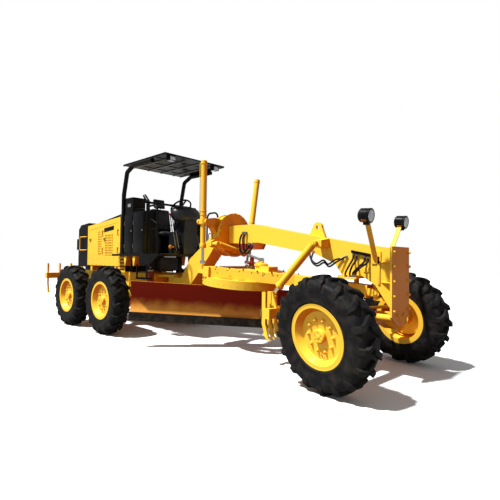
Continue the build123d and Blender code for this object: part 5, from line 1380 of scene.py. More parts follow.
@dataclass
class CylinderTrim(Assembly):
    """Gland nuts, end caps and pipes of the hydraulic cylinders.

    Args:
        lift_radius: radius of a lift cylinder's barrel.
        lift_top: distance from its swing pin up to its cap.
        lift_foot: distance from its swing pin down to its gland.
    """

    lift_radius: float = 0.050
    lift_top: float = 0.985
    lift_foot: float = 0.400

    def build(self) -> Pieces:
        """Build the trim of the lift, scarifier and ripper cylinders.

        Returns:
            The new pieces.
        """
        return [*self.lift("right", -1), *self.lift("left", 1),
                self.gland("scarifier", 0.820, 0.058), self.gland("ripper", 0.345, 0.050)]

    def lift(self, label: str, side: int) -> Pieces:
        """Build the gland, bands and pipe of one lift cylinder.

        Args:
            label: its side of the machine.
            side: 1 for the left, -1 for the right.

        Returns:
            The new pieces.
        """
        pin = self.rig.place(f"lift_barrel_swing_{label}")
        up = self.rig.axis(f"lift_rod_slide_{label}")
        up = up if up.z > 0 else -up
        r = self.lift_radius
        gland = Shape(f"lift_gland_{label}")
        nut = [(r * 0.55, -0.026), (r * 0.98, -0.022), (r * 1.06, -0.014), (r * 1.06, 0.046), (r, 0.050)]
        gland.turned(pin - up * self.lift_foot, up, nut, 8)
        bands = Shape(f"lift_bands_{label}")
        for along in (0.10, 0.16, 0.93):
            band = [(r, 0.0), (r + 0.006, 0.002), (r + 0.006, 0.018), (r, 0.020)]
            bands.turned(pin + up * along, up, band, 32, capped=False)
        cap = [(r, -0.006), (r, 0.0), (r - 0.006, 0.006), (r - 0.022, 0.009)]
        bands.turned(pin + up * self.lift_top, up, cap, 32)
        tube = Shape(f"lift_tube_{label}")
        out = up.cross(FORWARD).normalized()
        out = out if out.y * side > 0 else -out
        behind = FORWARD * 0.02
        start, end = pin + up * 0.13, pin + up * 0.94
        near, clear = out * (r - 0.002), out * (r + 0.013)
        corners = [start + near - behind, start + clear - behind, end + clear - behind, end + near - behind]
        tube.pipe(rounded(corners, 0.010), 0.006, 10)
        return finish_all(self.shop, f"lift_barrel_{label}", (gland, Finish.YELLOW), (bands, Finish.YELLOW),
                          (tube, Finish.YELLOW))

    def gland(self, name: str, reach: float, radius: float) -> bpy.types.Object:
        """Build the gland nut at the open end of a single barrel.

        Args:
            name: the first word of the barrel's node and joints.
            reach: distance from the swing pin to the barrel's open end.
            radius: radius of the barrel.

        Returns:
            The new piece.
        """
        node = f"{name}_barrel"
        pin, run = self.rig.place(f"{name}_barrel_swing"), self.rig.axis(f"{name}_rod_slide")
        middle = (self.rig.low(node) + self.rig.high(node)) / 2
        run = run if run.dot(middle - pin) > 0 else -run
        ring = Shape(f"{name}_gland")
        profile = [(radius * 0.9, 0.0), (radius * 0.9, 0.010), (radius * 0.55, 0.014)]
        ring.turned(pin + run * (reach + 0.001), run, profile, 6)
        return ring.finish(self.shop, Finish.YELLOW, node)


@dataclass
class Cushion:
    """A crowned cushion with pulled-in sides, a piped edge and sewn channels.

    Args:
        name: the piece's name.
        centre: middle of the block.
        wide: direction across the seat.
        long: direction along the cushion.
        size: full width, length and thickness.
        crown: how far the middle stands out.
        channels: sewn channels across the cushion.
        sewn: share of the width that the channels cross.
        seam: place of the seam along each side, as a share of the half width.
    """

    name: str
    centre: Vector
    wide: Vector
    long: Vector
    size: Point
    crown: float = 0.022
    channels: int = 3
    sewn: float = 0.62
    seam: float = 0.64

    def skin(self, u: float, v: float, face: int) -> Vector:
        """Give a point of the cushion's skin.

        Args:
            u: place across, -1 to 1.
            v: place along, -1 to 1.
            face: 1 for the top, -1 for the bottom.

        Returns:
            The point.
        """
        thick = self.wide.cross(self.long).normalized()
        edge = max(abs(u), abs(v))
        plump = (1 - abs(u) ** 3.2) * (1 - abs(v) ** 3.2)
        side_pull = 0.035 * (1 - abs(v) ** 2) * (abs(u) ** 6)
        end_pull = 0.03 * (1 - abs(u) ** 2) * (abs(v) ** 6)
        pull = 1 - side_pull - end_pull
        wave = 0.0
        if face > 0 and abs(u) < self.sewn:
            phase = (v + 1) / 2 * (self.channels + 1)
            near = abs(phase - round(phase))
            if 0 < round(phase) < self.channels + 1:
                wave = -0.010 * math.exp(-((near / 0.07) ** 2)) * (1 - (abs(u) / self.sewn) ** 6)
        from_seam = abs(u) - self.seam
        if face > 0 and abs(from_seam) < 0.12:
            wave -= 0.008 * math.exp(-((from_seam / 0.03) ** 2)) * (1 - abs(v) ** 8)
        half = self.size[2] / 2
        rise = half * (1 - edge ** 7 * 0.85) + (self.crown * plump if face > 0 else 0.003 * plump) + wave
        across, along = u * self.size[0] / 2 * pull, v * self.size[1] / 2 * pull
        return self.centre + self.wide * across + self.long * along + thick * (face * rise)

    def build(self, shop: Paintshop) -> Pieces:
        """Build the cushion and its piping.

        Args:
            shop: where materials come from.

        Returns:
            The cushion and the piping.
        """
        count = 40
        shape = Shape(self.name)
        grids = []
        for face in (1, -1):
            grid = []
            for i in range(count + 1):
                row = []
                for j in range(count + 1):
                    u, v = -1 + 2 * i / count, -1 + 2 * j / count
                    u, v = math.sin(u * math.pi / 2), math.sin(v * math.pi / 2)
                    spread = 1 / max(1.0, (abs(u) ** 7 + abs(v) ** 7) ** (1 / 7))
                    row.append(shape.mesh.verts.new(self.skin(u * spread, v * spread, face)))
                grid.append(row)
            grids.append(grid)
            for i in range(count):
                for j in range(count):
                    shape.mesh.faces.new((grid[i][j], grid[i + 1][j], grid[i + 1][j + 1], grid[i][j + 1]))
        rims = []
        for grid in grids:
            rim = [grid[i][0] for i in range(count)] + [grid[count][j] for j in range(count)]
            rim += [grid[i][count] for i in range(count, 0, -1)] + [grid[0][j] for j in range(count, 0, -1)]
            rims.append(rim)
        total = len(rims[0])
        for index in range(total):
            after = (index + 1) % total
            shape.mesh.faces.new((rims[0][index], rims[0][after], rims[1][after], rims[1][index]))
        loop = [(rims[0][index].co + rims[1][index].co) / 2 for index in range(total)]
        piece = shape.finish(shop, Finish.VINYL, "rear_frame")
        piping = Shape(f"{self.name}_piping")
        thick = self.wide.cross(self.long).normalized()
        rows = []
        for index in range(total):
            before, after = loop[index - 1], loop[(index + 1) % total]
            out = (after - before).normalized().cross(thick).normalized()
            rows.append([loop[index] + (out * math.cos(a) + thick * math.sin(a)) * 0.005 for a in turns(8)])
        piping.rings(rows, capped=False, looped=True)
        return [piece, piping.finish(shop, Finish.HOSE, "rear_frame")]


@dataclass
class DriverSeat(Assembly):
    """Seat on its suspension box, over the CAD seat's place.

    Args:
        rake: direction up along the seat's back.
        folds: folds of the suspension's bellows.
        arm_side: distance of an arm rest from the seat's middle.
    """

    rake: Point = (-0.10, 0, 0.49)
    folds: int = 6
    arm_side: float = 0.243

    def build(self) -> Pieces:
        """Build cushions, shells, arm rests and the suspension.

        Returns:
            The new pieces.
        """
        low, high = self.rig.low("operator_seat"), self.rig.high("operator_seat")
        made = []
        base = Shape("seat_base")
        base.box((low.x + 0.14, -0.165, low.z), (high.x - 0.15, 0.165, low.z + 0.10), 0.008)
        for step in range(self.folds):
            z = low.z + 0.105 + step * 0.036
            inset = 0.012 if step % 2 else 0.0
            base.box((low.x + 0.15 + inset, -0.150 + inset, z),
                     (high.x - 0.16 - inset, 0.150 - inset, z + 0.034), 0.010)
        base.box((low.x + 0.12, -0.19, low.z + 0.320), (high.x - 0.06, 0.19, low.z + 0.338), 0.006)
        made.append(base.finish(self.shop, Finish.BLACK, "rear_frame"))
        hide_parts("operator_seat")
        rake = Vector(self.rake).normalized()
        for name, x, z, along, size, crown, channels in (
            ("seat_cushion", 0.335, 0.400, FORWARD, (0.49, 0.46, 0.115), 0.024, 3),
            ("back_cushion", 0.130, 0.700, rake, (0.45, 0.48, 0.095), 0.024, 4),
            ("head_cushion", 0.052, 1.050, rake, (0.27, 0.19, 0.075), 0.016, 1),
        ):
            centre = Vector((low.x + x, 0, low.z + z))
            made.extend(Cushion(name, centre, LEFTWARD, along, size, crown, channels).build(self.shop))
        shell = Shape("seat_shells")
        back = ((0.095, -0.21, 0.44), (0.095, 0.21, 0.44), (0.0, 0.19, 0.93), (0.0, -0.19, 0.93))
        outline = [Vector((low.x + 0.020 + x, y, low.z + z)) for x, y, z in back]
        shell.prism(outline, Vector((-0.014, 0, -0.003)), 0.005)
        for side in (-1, 1):
            y = side * 0.055
            shell.pipe(places((low.x + 0.022, y, low.z + 0.90), (low.x + 0.008, y, low.z + 1.00)), 0.008, 10)
            y = side * self.arm_side
            arm = places((low.x + 0.075, y, low.z + 0.60), (low.x + 0.10, y, low.z + 0.625),
                         (low.x + 0.37, y, low.z + 0.610))
            shell.pipe(rounded(arm, 0.02), 0.007, 10)
        made.append(shell.finish(self.shop, Finish.GREY_PLASTIC, "rear_frame"))
        return made


@dataclass
class Cab(Assembly):
    """Fittings of the open operator's stand: roof, cabinets, console, levers, rails and underside.

    Args:
        cabinet_face: distance of the cabinets' outer faces from the middle.
        rail_side: distance of the rails from the middle.
        deck: height just over the stand's floor.
        tread_count: ribs along the floor.
    """

    cabinet_face: float = 0.735
    rail_side: float = 0.700
    deck: float = 1.5305
    tread_count: int = 22

    def build(self) -> Pieces:
        """Build every fitting of the stand.

        Returns:
            The new pieces.
        """
        return [*self.roof(), *self.cabinets(), *self.console(), *self.levers(), *self.rails(),
                *self.underside()]

    def roof(self) -> Pieces:
        """Build the roof's swages, ribs and bolts and the faces of its two lamps.

        Returns:
            The new pieces.
        """
        low, high = self.rig.low("canopy_roof"), self.rig.high("canopy_roof")
        top = Shape("roof_swages")
        for index in range(5):
            y = -0.52 + 0.26 * index
            top.box((low.x + 0.06, y - 0.022, high.z - 0.001),
                    (high.x - 0.06, y + 0.022, high.z + 0.006), 0.003)
        ribs = Shape("roof_ribs")
        for index in range(4):
            y = -0.48 + 0.32 * index
            ribs.box((low.x + 0.03, y - 0.012, high.z - 0.045),
                     (high.x - 0.15, y + 0.012, high.z - 0.026), 0.003)
        glass = Shape("roof_lamp_lenses")
        bezels = Shape("roof_lamp_bezels")
        x = high.x - 0.030
        foot, brow = low.z + 0.008, high.z - 0.026
        for side in (-1, 1):
            y = side * 0.52
            glass.box((x - 0.004, y - 0.055, foot), (x + 0.004, y + 0.055, brow - 0.008), 0.003)
            glass.box((x - 0.10, y - 0.055, low.z - 0.0035), (x - 0.006, y + 0.055, low.z - 0.0005), 0.001)
            bezels.box((x - 0.003, y - 0.069, brow - 0.009), (x + 0.006, y + 0.069, brow + 0.004), 0.002)
            bezels.box((x - 0.003, y - 0.069, low.z - 0.001), (x + 0.006, y + 0.069, low.z + 0.007), 0.002)
        bolts = Shape("roof_bolts")
        for side in (-1, 1):
            row = places((low.x + 0.10, side * 0.66, high.z), (high.x - 0.10, side * 0.66, high.z))
            bolts.bolts(*row, 6, UPWARD, 0.018)
        return finish_all(
            self.shop, "rear_frame", (top, Finish.ROOF_BLACK), (ribs, Finish.STEEL),
            (glass, Finish.REFLECTOR), (bezels, Finish.BLACK), (bolts, Finish.STEEL))

    def cabinets(self) -> Pieces:
        """Build the side cabinets' doors, hinges, catches and grab rails, and the louvred box.

        Returns:
            The new pieces.
        """
        low = self.rig.low("side_cabinets")
        doors = Shape("cabinet_doors")
        metal = Shape("cabinet_catches")
        catch = [(0.014, 0.0), (0.014, 0.005), (0.010, 0.009), (0.004, 0.010)]
        for side in (-1, 1):
            face = side * (self.cabinet_face + 0.0004)
            near, far = sorted((face, face + side * 0.004))
            for back, front, top in ((-0.625, -0.275, 2.30), (-0.945, -0.665, 2.27)):
                doors.box((back, near, low.z + 0.03), (front, far, top), 0.0015)
                for z in (1.68, 2.12):
                    hinge = Vector((back + 0.006, face + side * 0.004, z))
                    metal.turned(hinge, UPWARD, [(0.007, -0.04), (0.007, 0.04)], 10)
                metal.turned(Vector((front - 0.03, face + side * 0.003, 1.965)), LEFTWARD * side, catch, 16)
        box = Shape("shelf_box")
        box.box((-0.935, -0.716, 2.304), (-0.685, -0.454, 2.330), 0.006)
        for step in range(8):
            rise = step * 0.030
            box.box((-0.930, -0.722, 2.36 + rise), (-0.690, -0.7185, 2.374 + rise), 0.001)
        plate = Shape("shelf_plate")
        plate.box((-0.86, -0.7265, 2.44), (-0.75, -0.7225, 2.50), 0.0012)
        trim = Shape("cabinet_top_trim")
        for side in (-1, 1):
            y = side * 0.70
            corners = places((-0.61, y, 2.331), (-0.61, y, 2.375), (-0.30, y, 2.375), (-0.30, y, 2.331))
            trim.pipe(rounded(corners, 0.03), 0.009, 10)
        return finish_all(
            self.shop, "rear_frame", (doors, Finish.BLACK), (metal, Finish.STEEL), (box, Finish.BLACK),
            (plate, Finish.REFLECTOR), (trim, Finish.BLACK))

    def instrument_pod(self) -> Shape:
        """Build the round-backed pod that carries the dials.

        Returns:
            The pod's shape.
        """
        pod = Shape("instrument_pod")
        rows = []
        for index in range(25):
            t = index / 24
            half = 0.322 * math.sin(math.pi * min(1.0, 0.18 + t * 0.80)) ** 0.50
            tall = 0.170 * math.sin(math.pi * min(1.0, 0.20 + t * 0.78)) ** 0.50
            centre = Vector((-0.11 + 0.36 * t, 0, 2.31 - 0.05 * t))
            row = []
            for angle in turns(32):
                c, d = math.cos(angle), math.sin(angle)
                row.append(centre + LEFTWARD * (math.copysign(abs(c) ** 0.8, c) * half)
                           + UPWARD * (math.copysign(abs(d) ** 0.8, d) * tall))
            rows.append(row)
        pod.rings(rows)
        return pod

    def console(self) -> Pieces:
        """Build the instrument pod, its dials, the steering wheel's rim and the column's boot.

        Returns:
            The new pieces.
        """
        pod = self.instrument_pod()
        dials = Shape("dials")
        glass = Shape("dial_glasses")
        back = (FORWARD * -1 + UPWARD * 0.25).normalized()
        for y, z, r in (
            (-0.075, 2.33, 0.034),
            (0.0, 2.34, 0.040),
            (0.075, 2.33, 0.034),
            (-0.045, 2.25, 0.022),
            (0.045, 2.25, 0.022),
        ):
            seat = Vector((-0.112, y, z))
            bezel = [(r + 0.006, -0.01), (r + 0.006, 0.006), (r, 0.009), (r - 0.003, 0.004)]
            dials.turned(seat, back, bezel, 28)
            glass.turned(seat + back * 0.0045, back, [(r - 0.004, 0.0), (r - 0.006, 0.0015)], 24)
            dials.turned(seat + back * 0.0062, back, [(0.004, 0.0), (0.003, 0.002)], 10)
        hub = Vector((-0.114, 0, 2.44))
        axis = Vector((-0.13, 0, 0.16)).normalized()
        ahead = axis.cross(LEFTWARD).normalized()
        rim = Shape("steering_wheel_rim")
        rows = []
        for turn in turns(56):
            out = LEFTWARD * math.cos(turn) + ahead * math.sin(turn)
            thick = 0.0155 + 0.0012 * math.cos(turn * 28)
            middle = hub + axis * 0.011 + out * 0.2030
            rows.append([middle + (out * math.cos(a) + axis * math.sin(a)) * thick for a in turns(12)])
        rim.rings(rows, capped=False, looped=True)
        button = [(0.050, 0.0), (0.048, 0.012), (0.034, 0.022), (0.014, 0.026)]
        rim.turned(hub + axis * 0.020, axis, button, 32)
        boot = Shape("column_boot")
        folds = [(0.060 - 0.004 * step + (0.006 if step % 2 else 0.0), 0.012 * step) for step in range(8)]
        boot.turned(Vector((0.02, 0, 2.275)), axis, folds, 28)
        return finish_all(
            self.shop, "rear_frame", (pod, Finish.GREY_PLASTIC), (dials, Finish.BLACK),
            (glass, Finish.REFLECTOR), (rim, Finish.BLACK), (boot, Finish.HOSE))

    def levers(self) -> Pieces:
        """Build lever knobs, the linkage rods below them, pedals and the orange knob.

        Returns:
            The new pieces.
        """
        knobs = Shape("lever_knobs")
        red = Shape("red_knobs")
        rods = Shape("control_linkage")
        arms = Shape("linkage_arms")
        grip = [(0.010, -0.014), (0.017, -0.008), (0.021, 0.008), (0.021, 0.022), (0.015, 0.034),
                (0.006, 0.038)]
        for side in (-1, 1):
            for offset in range(3):
                y = side * (0.175 + 0.045 * offset)
                root, tip = places((-0.009, y, 1.88), (-0.099, y, 2.28))
                shape = red if (side, offset) in ((-1, 2), (1, 0)) else knobs
                shape.turned(tip, (tip - root).normalized(), grip, 20)
                arms.turned(root, LEFTWARD, [(0.016, -0.012), (0.016, 0.012)], 16)
                blade = places((0.012, -0.004, 0), (-0.012, -0.004, 0), (0.030, -0.004, -0.10),
                               (0.048, -0.004, -0.10))
                arms.prism([root + corner for corner in blade], Vector((0, 0.008, 0)), 0.001)
                foot = Vector((-0.02 + 0.02 * offset, y, 1.545))
                rods.pipe([root + Vector((0.039, 0, -0.095)), foot], 0.006, 10)
        for y, z in ((-0.245, 1.97), (-0.30, 1.93), (0.245, 1.97)):
            rods.pipe(places((0.06, y, z), (0.19, y - 0.02, z - 0.33)), 0.005, 10)
        knob = Shape("orange_knob")
        knob.turned(Vector((0.05, -0.335, 1.665)), Vector((-0.6, -0.8, 0.1)), [
            (0.012, -0.05), (0.012, 0.0), (0.040, 0.008), (0.042, 0.030), (0.030, 0.044), (0.010, 0.048)], 24)
        arms.pipe(places((0.05, -0.303, 1.665), (0.07, -0.290, 1.70)), 0.010, 10)
        made = finish_all(
            self.shop, "rear_frame", (knobs, Finish.GREY_PLASTIC), (red, Finish.KNOB_RED),
            (rods, Finish.STEEL), (arms, Finish.BLACK), (knob, Finish.KNOB_ORANGE))
        return [*made, self.pedals()]

    def pedals(self) -> bpy.types.Object:
        """Build the three ribbed pedals.

        Returns:
            The new piece.
        """
        pedals = Shape("pedals")
        for y in (-0.23, 0.23, 0.31):
            outline = places((0.10, y - 0.035, 1.60), (0.10, y + 0.035, 1.60), (0.165, y + 0.035, 1.69),
                             (0.165, y - 0.035, 1.69))
            pedals.prism(outline, Vector((0.010, 0, -0.007)), 0.002)
            for step in range(4):
                seat = Vector((0.110 + 0.013 * step, y, 1.616 + 0.018 * step))
                rib = places((0, -0.03, 0), (0, 0.03, 0), (0.005, 0.03, 0.007), (0.005, -0.03, 0.007))
                pedals.prism([seat + corner for corner in rib], Vector((-0.003, 0, 0.002)), 0.0006)
            pedals.pipe(places((0.14, y, 1.64), (0.17, y, 1.538)), 0.008, 10)
        return pedals.finish(self.shop, Finish.HOSE, "rear_frame")

    def rails(self) -> Pieces:
        """Build the thin rails round the stand and the floor's tread ribs.

        Returns:
            The new pieces.
        """
        rails = Shape("stand_rails")
        foot = 1.532
        for side in (-1, 1):
            y = side * self.rail_side
            hand = places((0.150, y, foot), (0.150, y, 2.05), (-0.06, y, 2.16), (-0.245, y, 2.16))
            rails.pipe(rounded(hand, 0.06), 0.011, 12)
            knee = places((-0.10, y, foot), (-0.10, y, 1.98), (0.145, y, 1.98))
            rails.pipe(rounded(knee, 0.05), 0.009, 12)
            for x in (-0.02, 0.06):
                rails.pipe(places((x, y, foot), (x, y, 1.975)), 0.006, 10)
        treads = Shape("floor_ribs")
        for index in range(self.tread_count):
            x = -0.245 + 0.022 * index
            for near, far in ((-0.60, -0.32), (0.32, 0.60)):
                treads.box((x, near, self.deck), (x + 0.006, far, 1.5345), 0.001)
        return finish_all(self.shop, "rear_frame", (rails, Finish.BLACK), (treads, Finish.STEEL))

    def underside(self) -> Pieces:
        """Build the accumulator, gearbox case, brackets and step panel under the stand.

        Returns:
            The new pieces.
        """
        drum = Shape("accumulator")
        foot = Vector((-0.38, -0.50, 1.00))
        drum.turned(foot, UPWARD, [(0.030, -0.012), (0.060, 0.0), (0.066, 0.012), (0.066, 0.200)], 28)
        cap = Shape("accumulator_cap")
        cap.turned(foot + UPWARD * 0.200, UPWARD, [
            (0.066, 0.0), (0.068, 0.006), (0.068, 0.030), (0.050, 0.052), (0.018, 0.062), (0.018, 0.085)], 28)
        case = Shape("gearbox_case")
        case.box((-0.80, -0.20, 1.20), (-0.46, 0.20, 1.480), 0.030)
        for index in range(7):
            x = -0.785 + 0.050 * index
            case.box((x, -0.214, 1.225), (x + 0.012, 0.214, 1.460), 0.004)
        strap = Shape("accumulator_bracket")
        strap.box((-0.46, -0.445, 1.05), (-0.30, -0.372, 1.13), 0.004)
        brackets = Shape("stand_brackets")
        for side in (-1, 1):
            near, far = sorted((side * 0.60, side * 0.72))
            for x in (-0.98, -0.66):
                outline = [(x, 1.489), (x + 0.10, 1.489), (x + 0.06, 1.30), (x + 0.02, 1.30)]
                brackets.plate(outline, near, far - near, 0.003)
        panel = Shape("step_panel")
        back, front = -1.445, -1.165
        for side in (-1, 1):
            y, thick = side * 0.585, side * 0.006
            for z in (1.155, 1.225, 1.295, 1.365, 1.435):
                panel.plate([(back, z), (front, z), (front, z + 0.040), (back, z + 0.040)], y, thick, 0.002)
            for x in (back, -1.175):
                upright = [(x, 1.130), (x + 0.020, 1.130), (x + 0.020, 1.485), (x, 1.485)]
                panel.plate(upright, y - thick * 0.2, thick * 1.6, 0.002)
        return finish_all(
            self.shop, "rear_frame", (drum, Finish.DARK_RED), (cap, Finish.STEEL), (case, Finish.ENGINE),
            (strap, Finish.YELLOW), (brackets, Finish.YELLOW), (panel, Finish.YELLOW))


@dataclass
class HoodTrim(Assembly):
    """Intake grille, latches, blank plates, rails and exhaust clamps of the engine hood.

    Args:
        hood_side: half the width of the hood.
        slat_count: slats of the intake.
        exhaust_x: X of the exhaust pipe's middle.
        exhaust_y: Y of the exhaust pipe's middle.
    """

    hood_side: float = 0.550
    slat_count: int = 22
    exhaust_x: float = -1.529
    exhaust_y: float = 0.150

    def build(self) -> Pieces:
        """Build every fitting of the hood.

        Returns:
            The new pieces.
        """
        return [*self.intake(), *self.doors(), *self.radiator()]

    def intake(self) -> Pieces:
        """Build the black frame and slats of the raised intake on top.

        Returns:
            The new pieces.
        """
        front, rear = places((-1.70, 0, 2.372), (-2.715, 0, 2.236))
        frame = Shape("intake_frame")
        slats = Shape("intake_slats")
        run = rear - front
        way = run.normalized()
        up = Vector((-run.z, 0, run.x)).normalized()
        up = up if up.z > 0 else -up
        right, left = LEFTWARD * -0.36, LEFTWARD * 0.36
        for index in range(self.slat_count):
            at = front.lerp(rear, (index + 0.5) / self.slat_count) + up * 0.003
            slat = [at + right, at + left, at + left + way * 0.020, at + right + way * 0.020]
            slats.prism(slat, up * 0.012, 0.002)
        for side, near, far in ((-1, -0.402, -0.362), (1, 0.362, 0.402)):
            a, b = front + up * 0.002, rear + up * 0.002
            near_step, far_step = LEFTWARD * near, LEFTWARD * far
            frame.prism([a + near_step, a + far_step, b + far_step, b + near_step], up * 0.022, 0.004)
            skirt = LEFTWARD * (side * 0.4005)
            outline = [front + skirt - UPWARD * 0.07, front + skirt + up * 0.006, rear + skirt + up * 0.006,
                       rear + skirt - UPWARD * 0.045]
            frame.prism(outline, LEFTWARD * (side * 0.006), 0.001)
        right, left = LEFTWARD * -0.402, LEFTWARD * 0.402
        for at in (front, rear - way * 0.04):
            outline = [at + right + up * 0.002, at + left + up * 0.002, at + left + way * 0.04 + up * 0.002,
                       at + right + way * 0.04 + up * 0.002]
            frame.prism(outline, up * 0.022, 0.004)
        return finish_all(self.shop, "rear_frame", (frame, Finish.BLACK), (slats, Finish.BLACK))

    def doors(self) -> Pieces:
        """Build the latch handles, blank plates and bolt rows of the hood's doors and sides.

        Returns:
            The new pieces.
        """
        made = []
        ring = [(0.030, 0.0), (0.030, 0.004), (0.024, 0.006), (0.010, 0.006)]
        for side, label in ((-1, "right"), (1, "left")):
            face = side * (self.hood_side + 0.0005)
            near, far = sorted((face + side * 0.016, face + side * 0.026))
            for place, x in (("front", -2.124), ("rear", -2.804)):
                latch = Shape(f"{place}_latch_{label}")
                latch.turned(Vector((x, face + side * 0.012, 1.865)), LEFTWARD * side, ring, 24)
                latch.box((x - 0.012, near, 1.840), (x + 0.012, far, 1.890), 0.003)
                made.append(latch.finish(self.shop, Finish.STEEL, f"{place}_hood_door_{label}"))
            plate = Shape(f"blank_plate_{label}")
            outline = [(-2.155, 2.010), (-1.720, 2.052), (-1.720, 2.140), (-2.155, 2.100)]
            plate.plate(outline, face, side * 0.003, 0.001)
            made.append(plate.finish(self.shop, Finish.BLACK, f"front_hood_door_{label}"))
            bolts = Shape(f"hood_bolts_{label}")
            for z in (1.30, 1.45):
                bolts.bolts(*places((-2.90, face, z), (-1.50, face, z)), 8, LEFTWARD * side, 0.014)
            made.append(bolts.finish(self.shop, Finish.YELLOW, "rear_frame"))
        return made

    def radiator(self) -> Pieces:
        """Build the rail loops beside the radiator, its cap and the exhaust pipe's clamps.

        Returns:
            The new pieces.
        """
        rail = Shape("radiator_rails")
        for side in (-1, 1):
            inner, outer = side * 0.53, side * 0.556 + side * 0.012
            corners = places((-3.02, inner, 1.94), (-3.02, outer, 1.94), (-3.32, outer, 1.94),
                             (-3.32, outer, 1.63), (-3.02, outer, 1.63), (-3.02, inner, 1.63))
            rail.pipe(rounded(corners, 0.03), 0.012, 12)
        cap = Shape("radiator_cap")
        lid = [(0.030, -0.01), (0.030, 0.010), (0.042, 0.014), (0.042, 0.026), (0.030, 0.030)]
        cap.turned(Vector((-3.10, 0.0, 2.250)), UPWARD, lid, 24)
        clamp = Shape("exhaust_clamp")
        x, y = self.exhaust_x, self.exhaust_y
        band = [(0.0425, 0.0), (0.0465, 0.001), (0.0465, 0.016), (0.0425, 0.017)]
        for z in (2.46, 2.66):
            clamp.turned(Vector((x, y, z)), UPWARD, band, 32, capped=False)
        seat = self.rig.low("exhaust_pipe").z + 0.075
        clamp.bolts(*places((x - 0.036, y - 0.036, seat), (x - 0.036, y + 0.036, seat)), 2, UPWARD, 0.014)
        return finish_all(self.shop, "rear_frame", (rail, Finish.YELLOW), (cap, Finish.BLACK),
                          (clamp, Finish.STEEL))


@dataclass
class Tines(Assembly):
    """Points and keeper pins of the scarifier and the ripper.

    Args:
        bar_x: X of the middle of the scarifier's bar.
        tooth_count: teeth of the scarifier.
        shank_count: shanks of the ripper.
    """

    bar_x: float = 2.646
    tooth_count: int = 11
    shank_count: int = 7

    def build(self) -> Pieces:
        """Build the points and pins.

        Returns:
            The new pieces.
        """
        return [*self.scarifier(), *self.ripper()]

    def scarifier(self) -> Pieces:
        """Build the scarifier's tooth points and keeper pins.

        Returns:
            The new pieces.
        """
        foot, x = self.rig.low("scarifier").z, self.bar_x
        points = Shape("scarifier_points")
        pins = Shape("scarifier_pins")
        outline = [(x - 0.062, 0.452), (x + 0.034, foot + 0.002), (x + 0.004, foot + 0.001),
                   (x - 0.088, 0.425)]
        for index in range(self.tooth_count):
            y = -0.575 + 0.115 * index
            points.plate(outline, y - 0.021, 0.042, 0.004)
            pins.box((x - 0.120, y - 0.030, 0.66), (x - 0.1105, y + 0.030, 0.76), 0.003)
            pins.bolt(Vector((x - 0.120, y, 0.71)), -FORWARD, 0.026)
        return finish_all(self.shop, "scarifier", (points, Finish.YELLOW), (pins, Finish.STEEL))

    def ripper(self) -> Pieces:
        """Build the ripper's shank points and keepers.

        Returns:
            The new pieces.
        """
        foot, pin = self.rig.low("ripper_beam").z, self.rig.place("ripper_beam_pin")
        tips = Shape("ripper_points")
        keeps = Shape("ripper_keepers")
        x, z = pin.x - 0.130, pin.z
        outline = [(x - 0.088, foot + 0.100), (x + 0.018, foot + 0.002), (x - 0.040, foot + 0.002),
                   (x - 0.125, foot + 0.120)]
        for index in range(self.shank_count):
            y = -0.864 + 0.288 * index
            tips.plate(outline, y - 0.026, 0.052, 0.005)
            keeps.box((x - 0.142, y - 0.036, z - 0.055), (x - 0.1305, y + 0.036, z + 0.055), 0.004)
            keeps.bolt(Vector((x - 0.142, y, z)), -FORWARD, 0.034)
        return finish_all(self.shop, "ripper_beam", (tips, Finish.YELLOW), (keeps, Finish.STEEL))


@dataclass
class Saddle(Assembly):
    """Bolts, neck hoses and plates round the blade saddle and the neck.

    Args:
        flange_radius: radius of the bolt circle.
        bolt_count: bolts of the flange.
        neck_side: half the width of the neck.
        hose_tops: X and Z of the two hoses' upper ends.
    """

    flange_radius: float = 0.354
    bolt_count: int = 20
    neck_side: float = 0.140
    hose_tops: Section = ((1.742, 1.872), (1.800, 1.868))

    def build(self) -> Pieces:
        """Build the pieces round the saddle.

        Returns:
            The new pieces.
        """
        middle = Vector((self.rig.place("lift_barrel_swing_right").x + 0.150, 0.0, 1.855))
        bolts = Shape("saddle_bolts")
        r = self.flange_radius
        for angle in turns(self.bolt_count, 0.5):
            bolts.bolt(middle + Vector((0, math.cos(angle) * r, math.sin(angle) * r)), FORWARD, 0.022)
        stubs = Shape("neck_hose_stubs")
        for x, z in self.hose_tops:
            stub = [(0.020, 0.0), (0.020, 0.014), (0.013, 0.017), (0.013, 0.026)]
            stubs.turned(Vector((x, -self.neck_side, z)), -LEFTWARD, stub, 16)
        pad = Shape("under_neck_plate")
        outline = [(1.64, 1.612), (1.92, 1.612), (1.965, 1.700), (1.60, 1.700)]
        for side in (-1, 1):
            pad.plate(outline, side * (self.neck_side + 0.0005), side * 0.006, 0.002)
        made = finish_all(self.shop, "front_frame", (bolts, Finish.YELLOW), (stubs, Finish.BLACK),
                          (pad, Finish.DARK_RED))
        for index, (x, z) in enumerate(self.hose_tops):
            ahead = x + 0.03 * index
            corners = places(
                (x, -0.164, z), (x - 0.02, -0.205, z - 0.09), (ahead - 0.01, -0.225, z - 0.24),
                (ahead + 0.035, -0.212, z - 0.33), (ahead + 0.11, -0.190, z - 0.27),
                (ahead + 0.13, -0.152, z - 0.175))
            made.extend(Hose(f"neck_hose_{index + 1}", "front_frame", corners, 0.0150).build(self.shop))
        return made


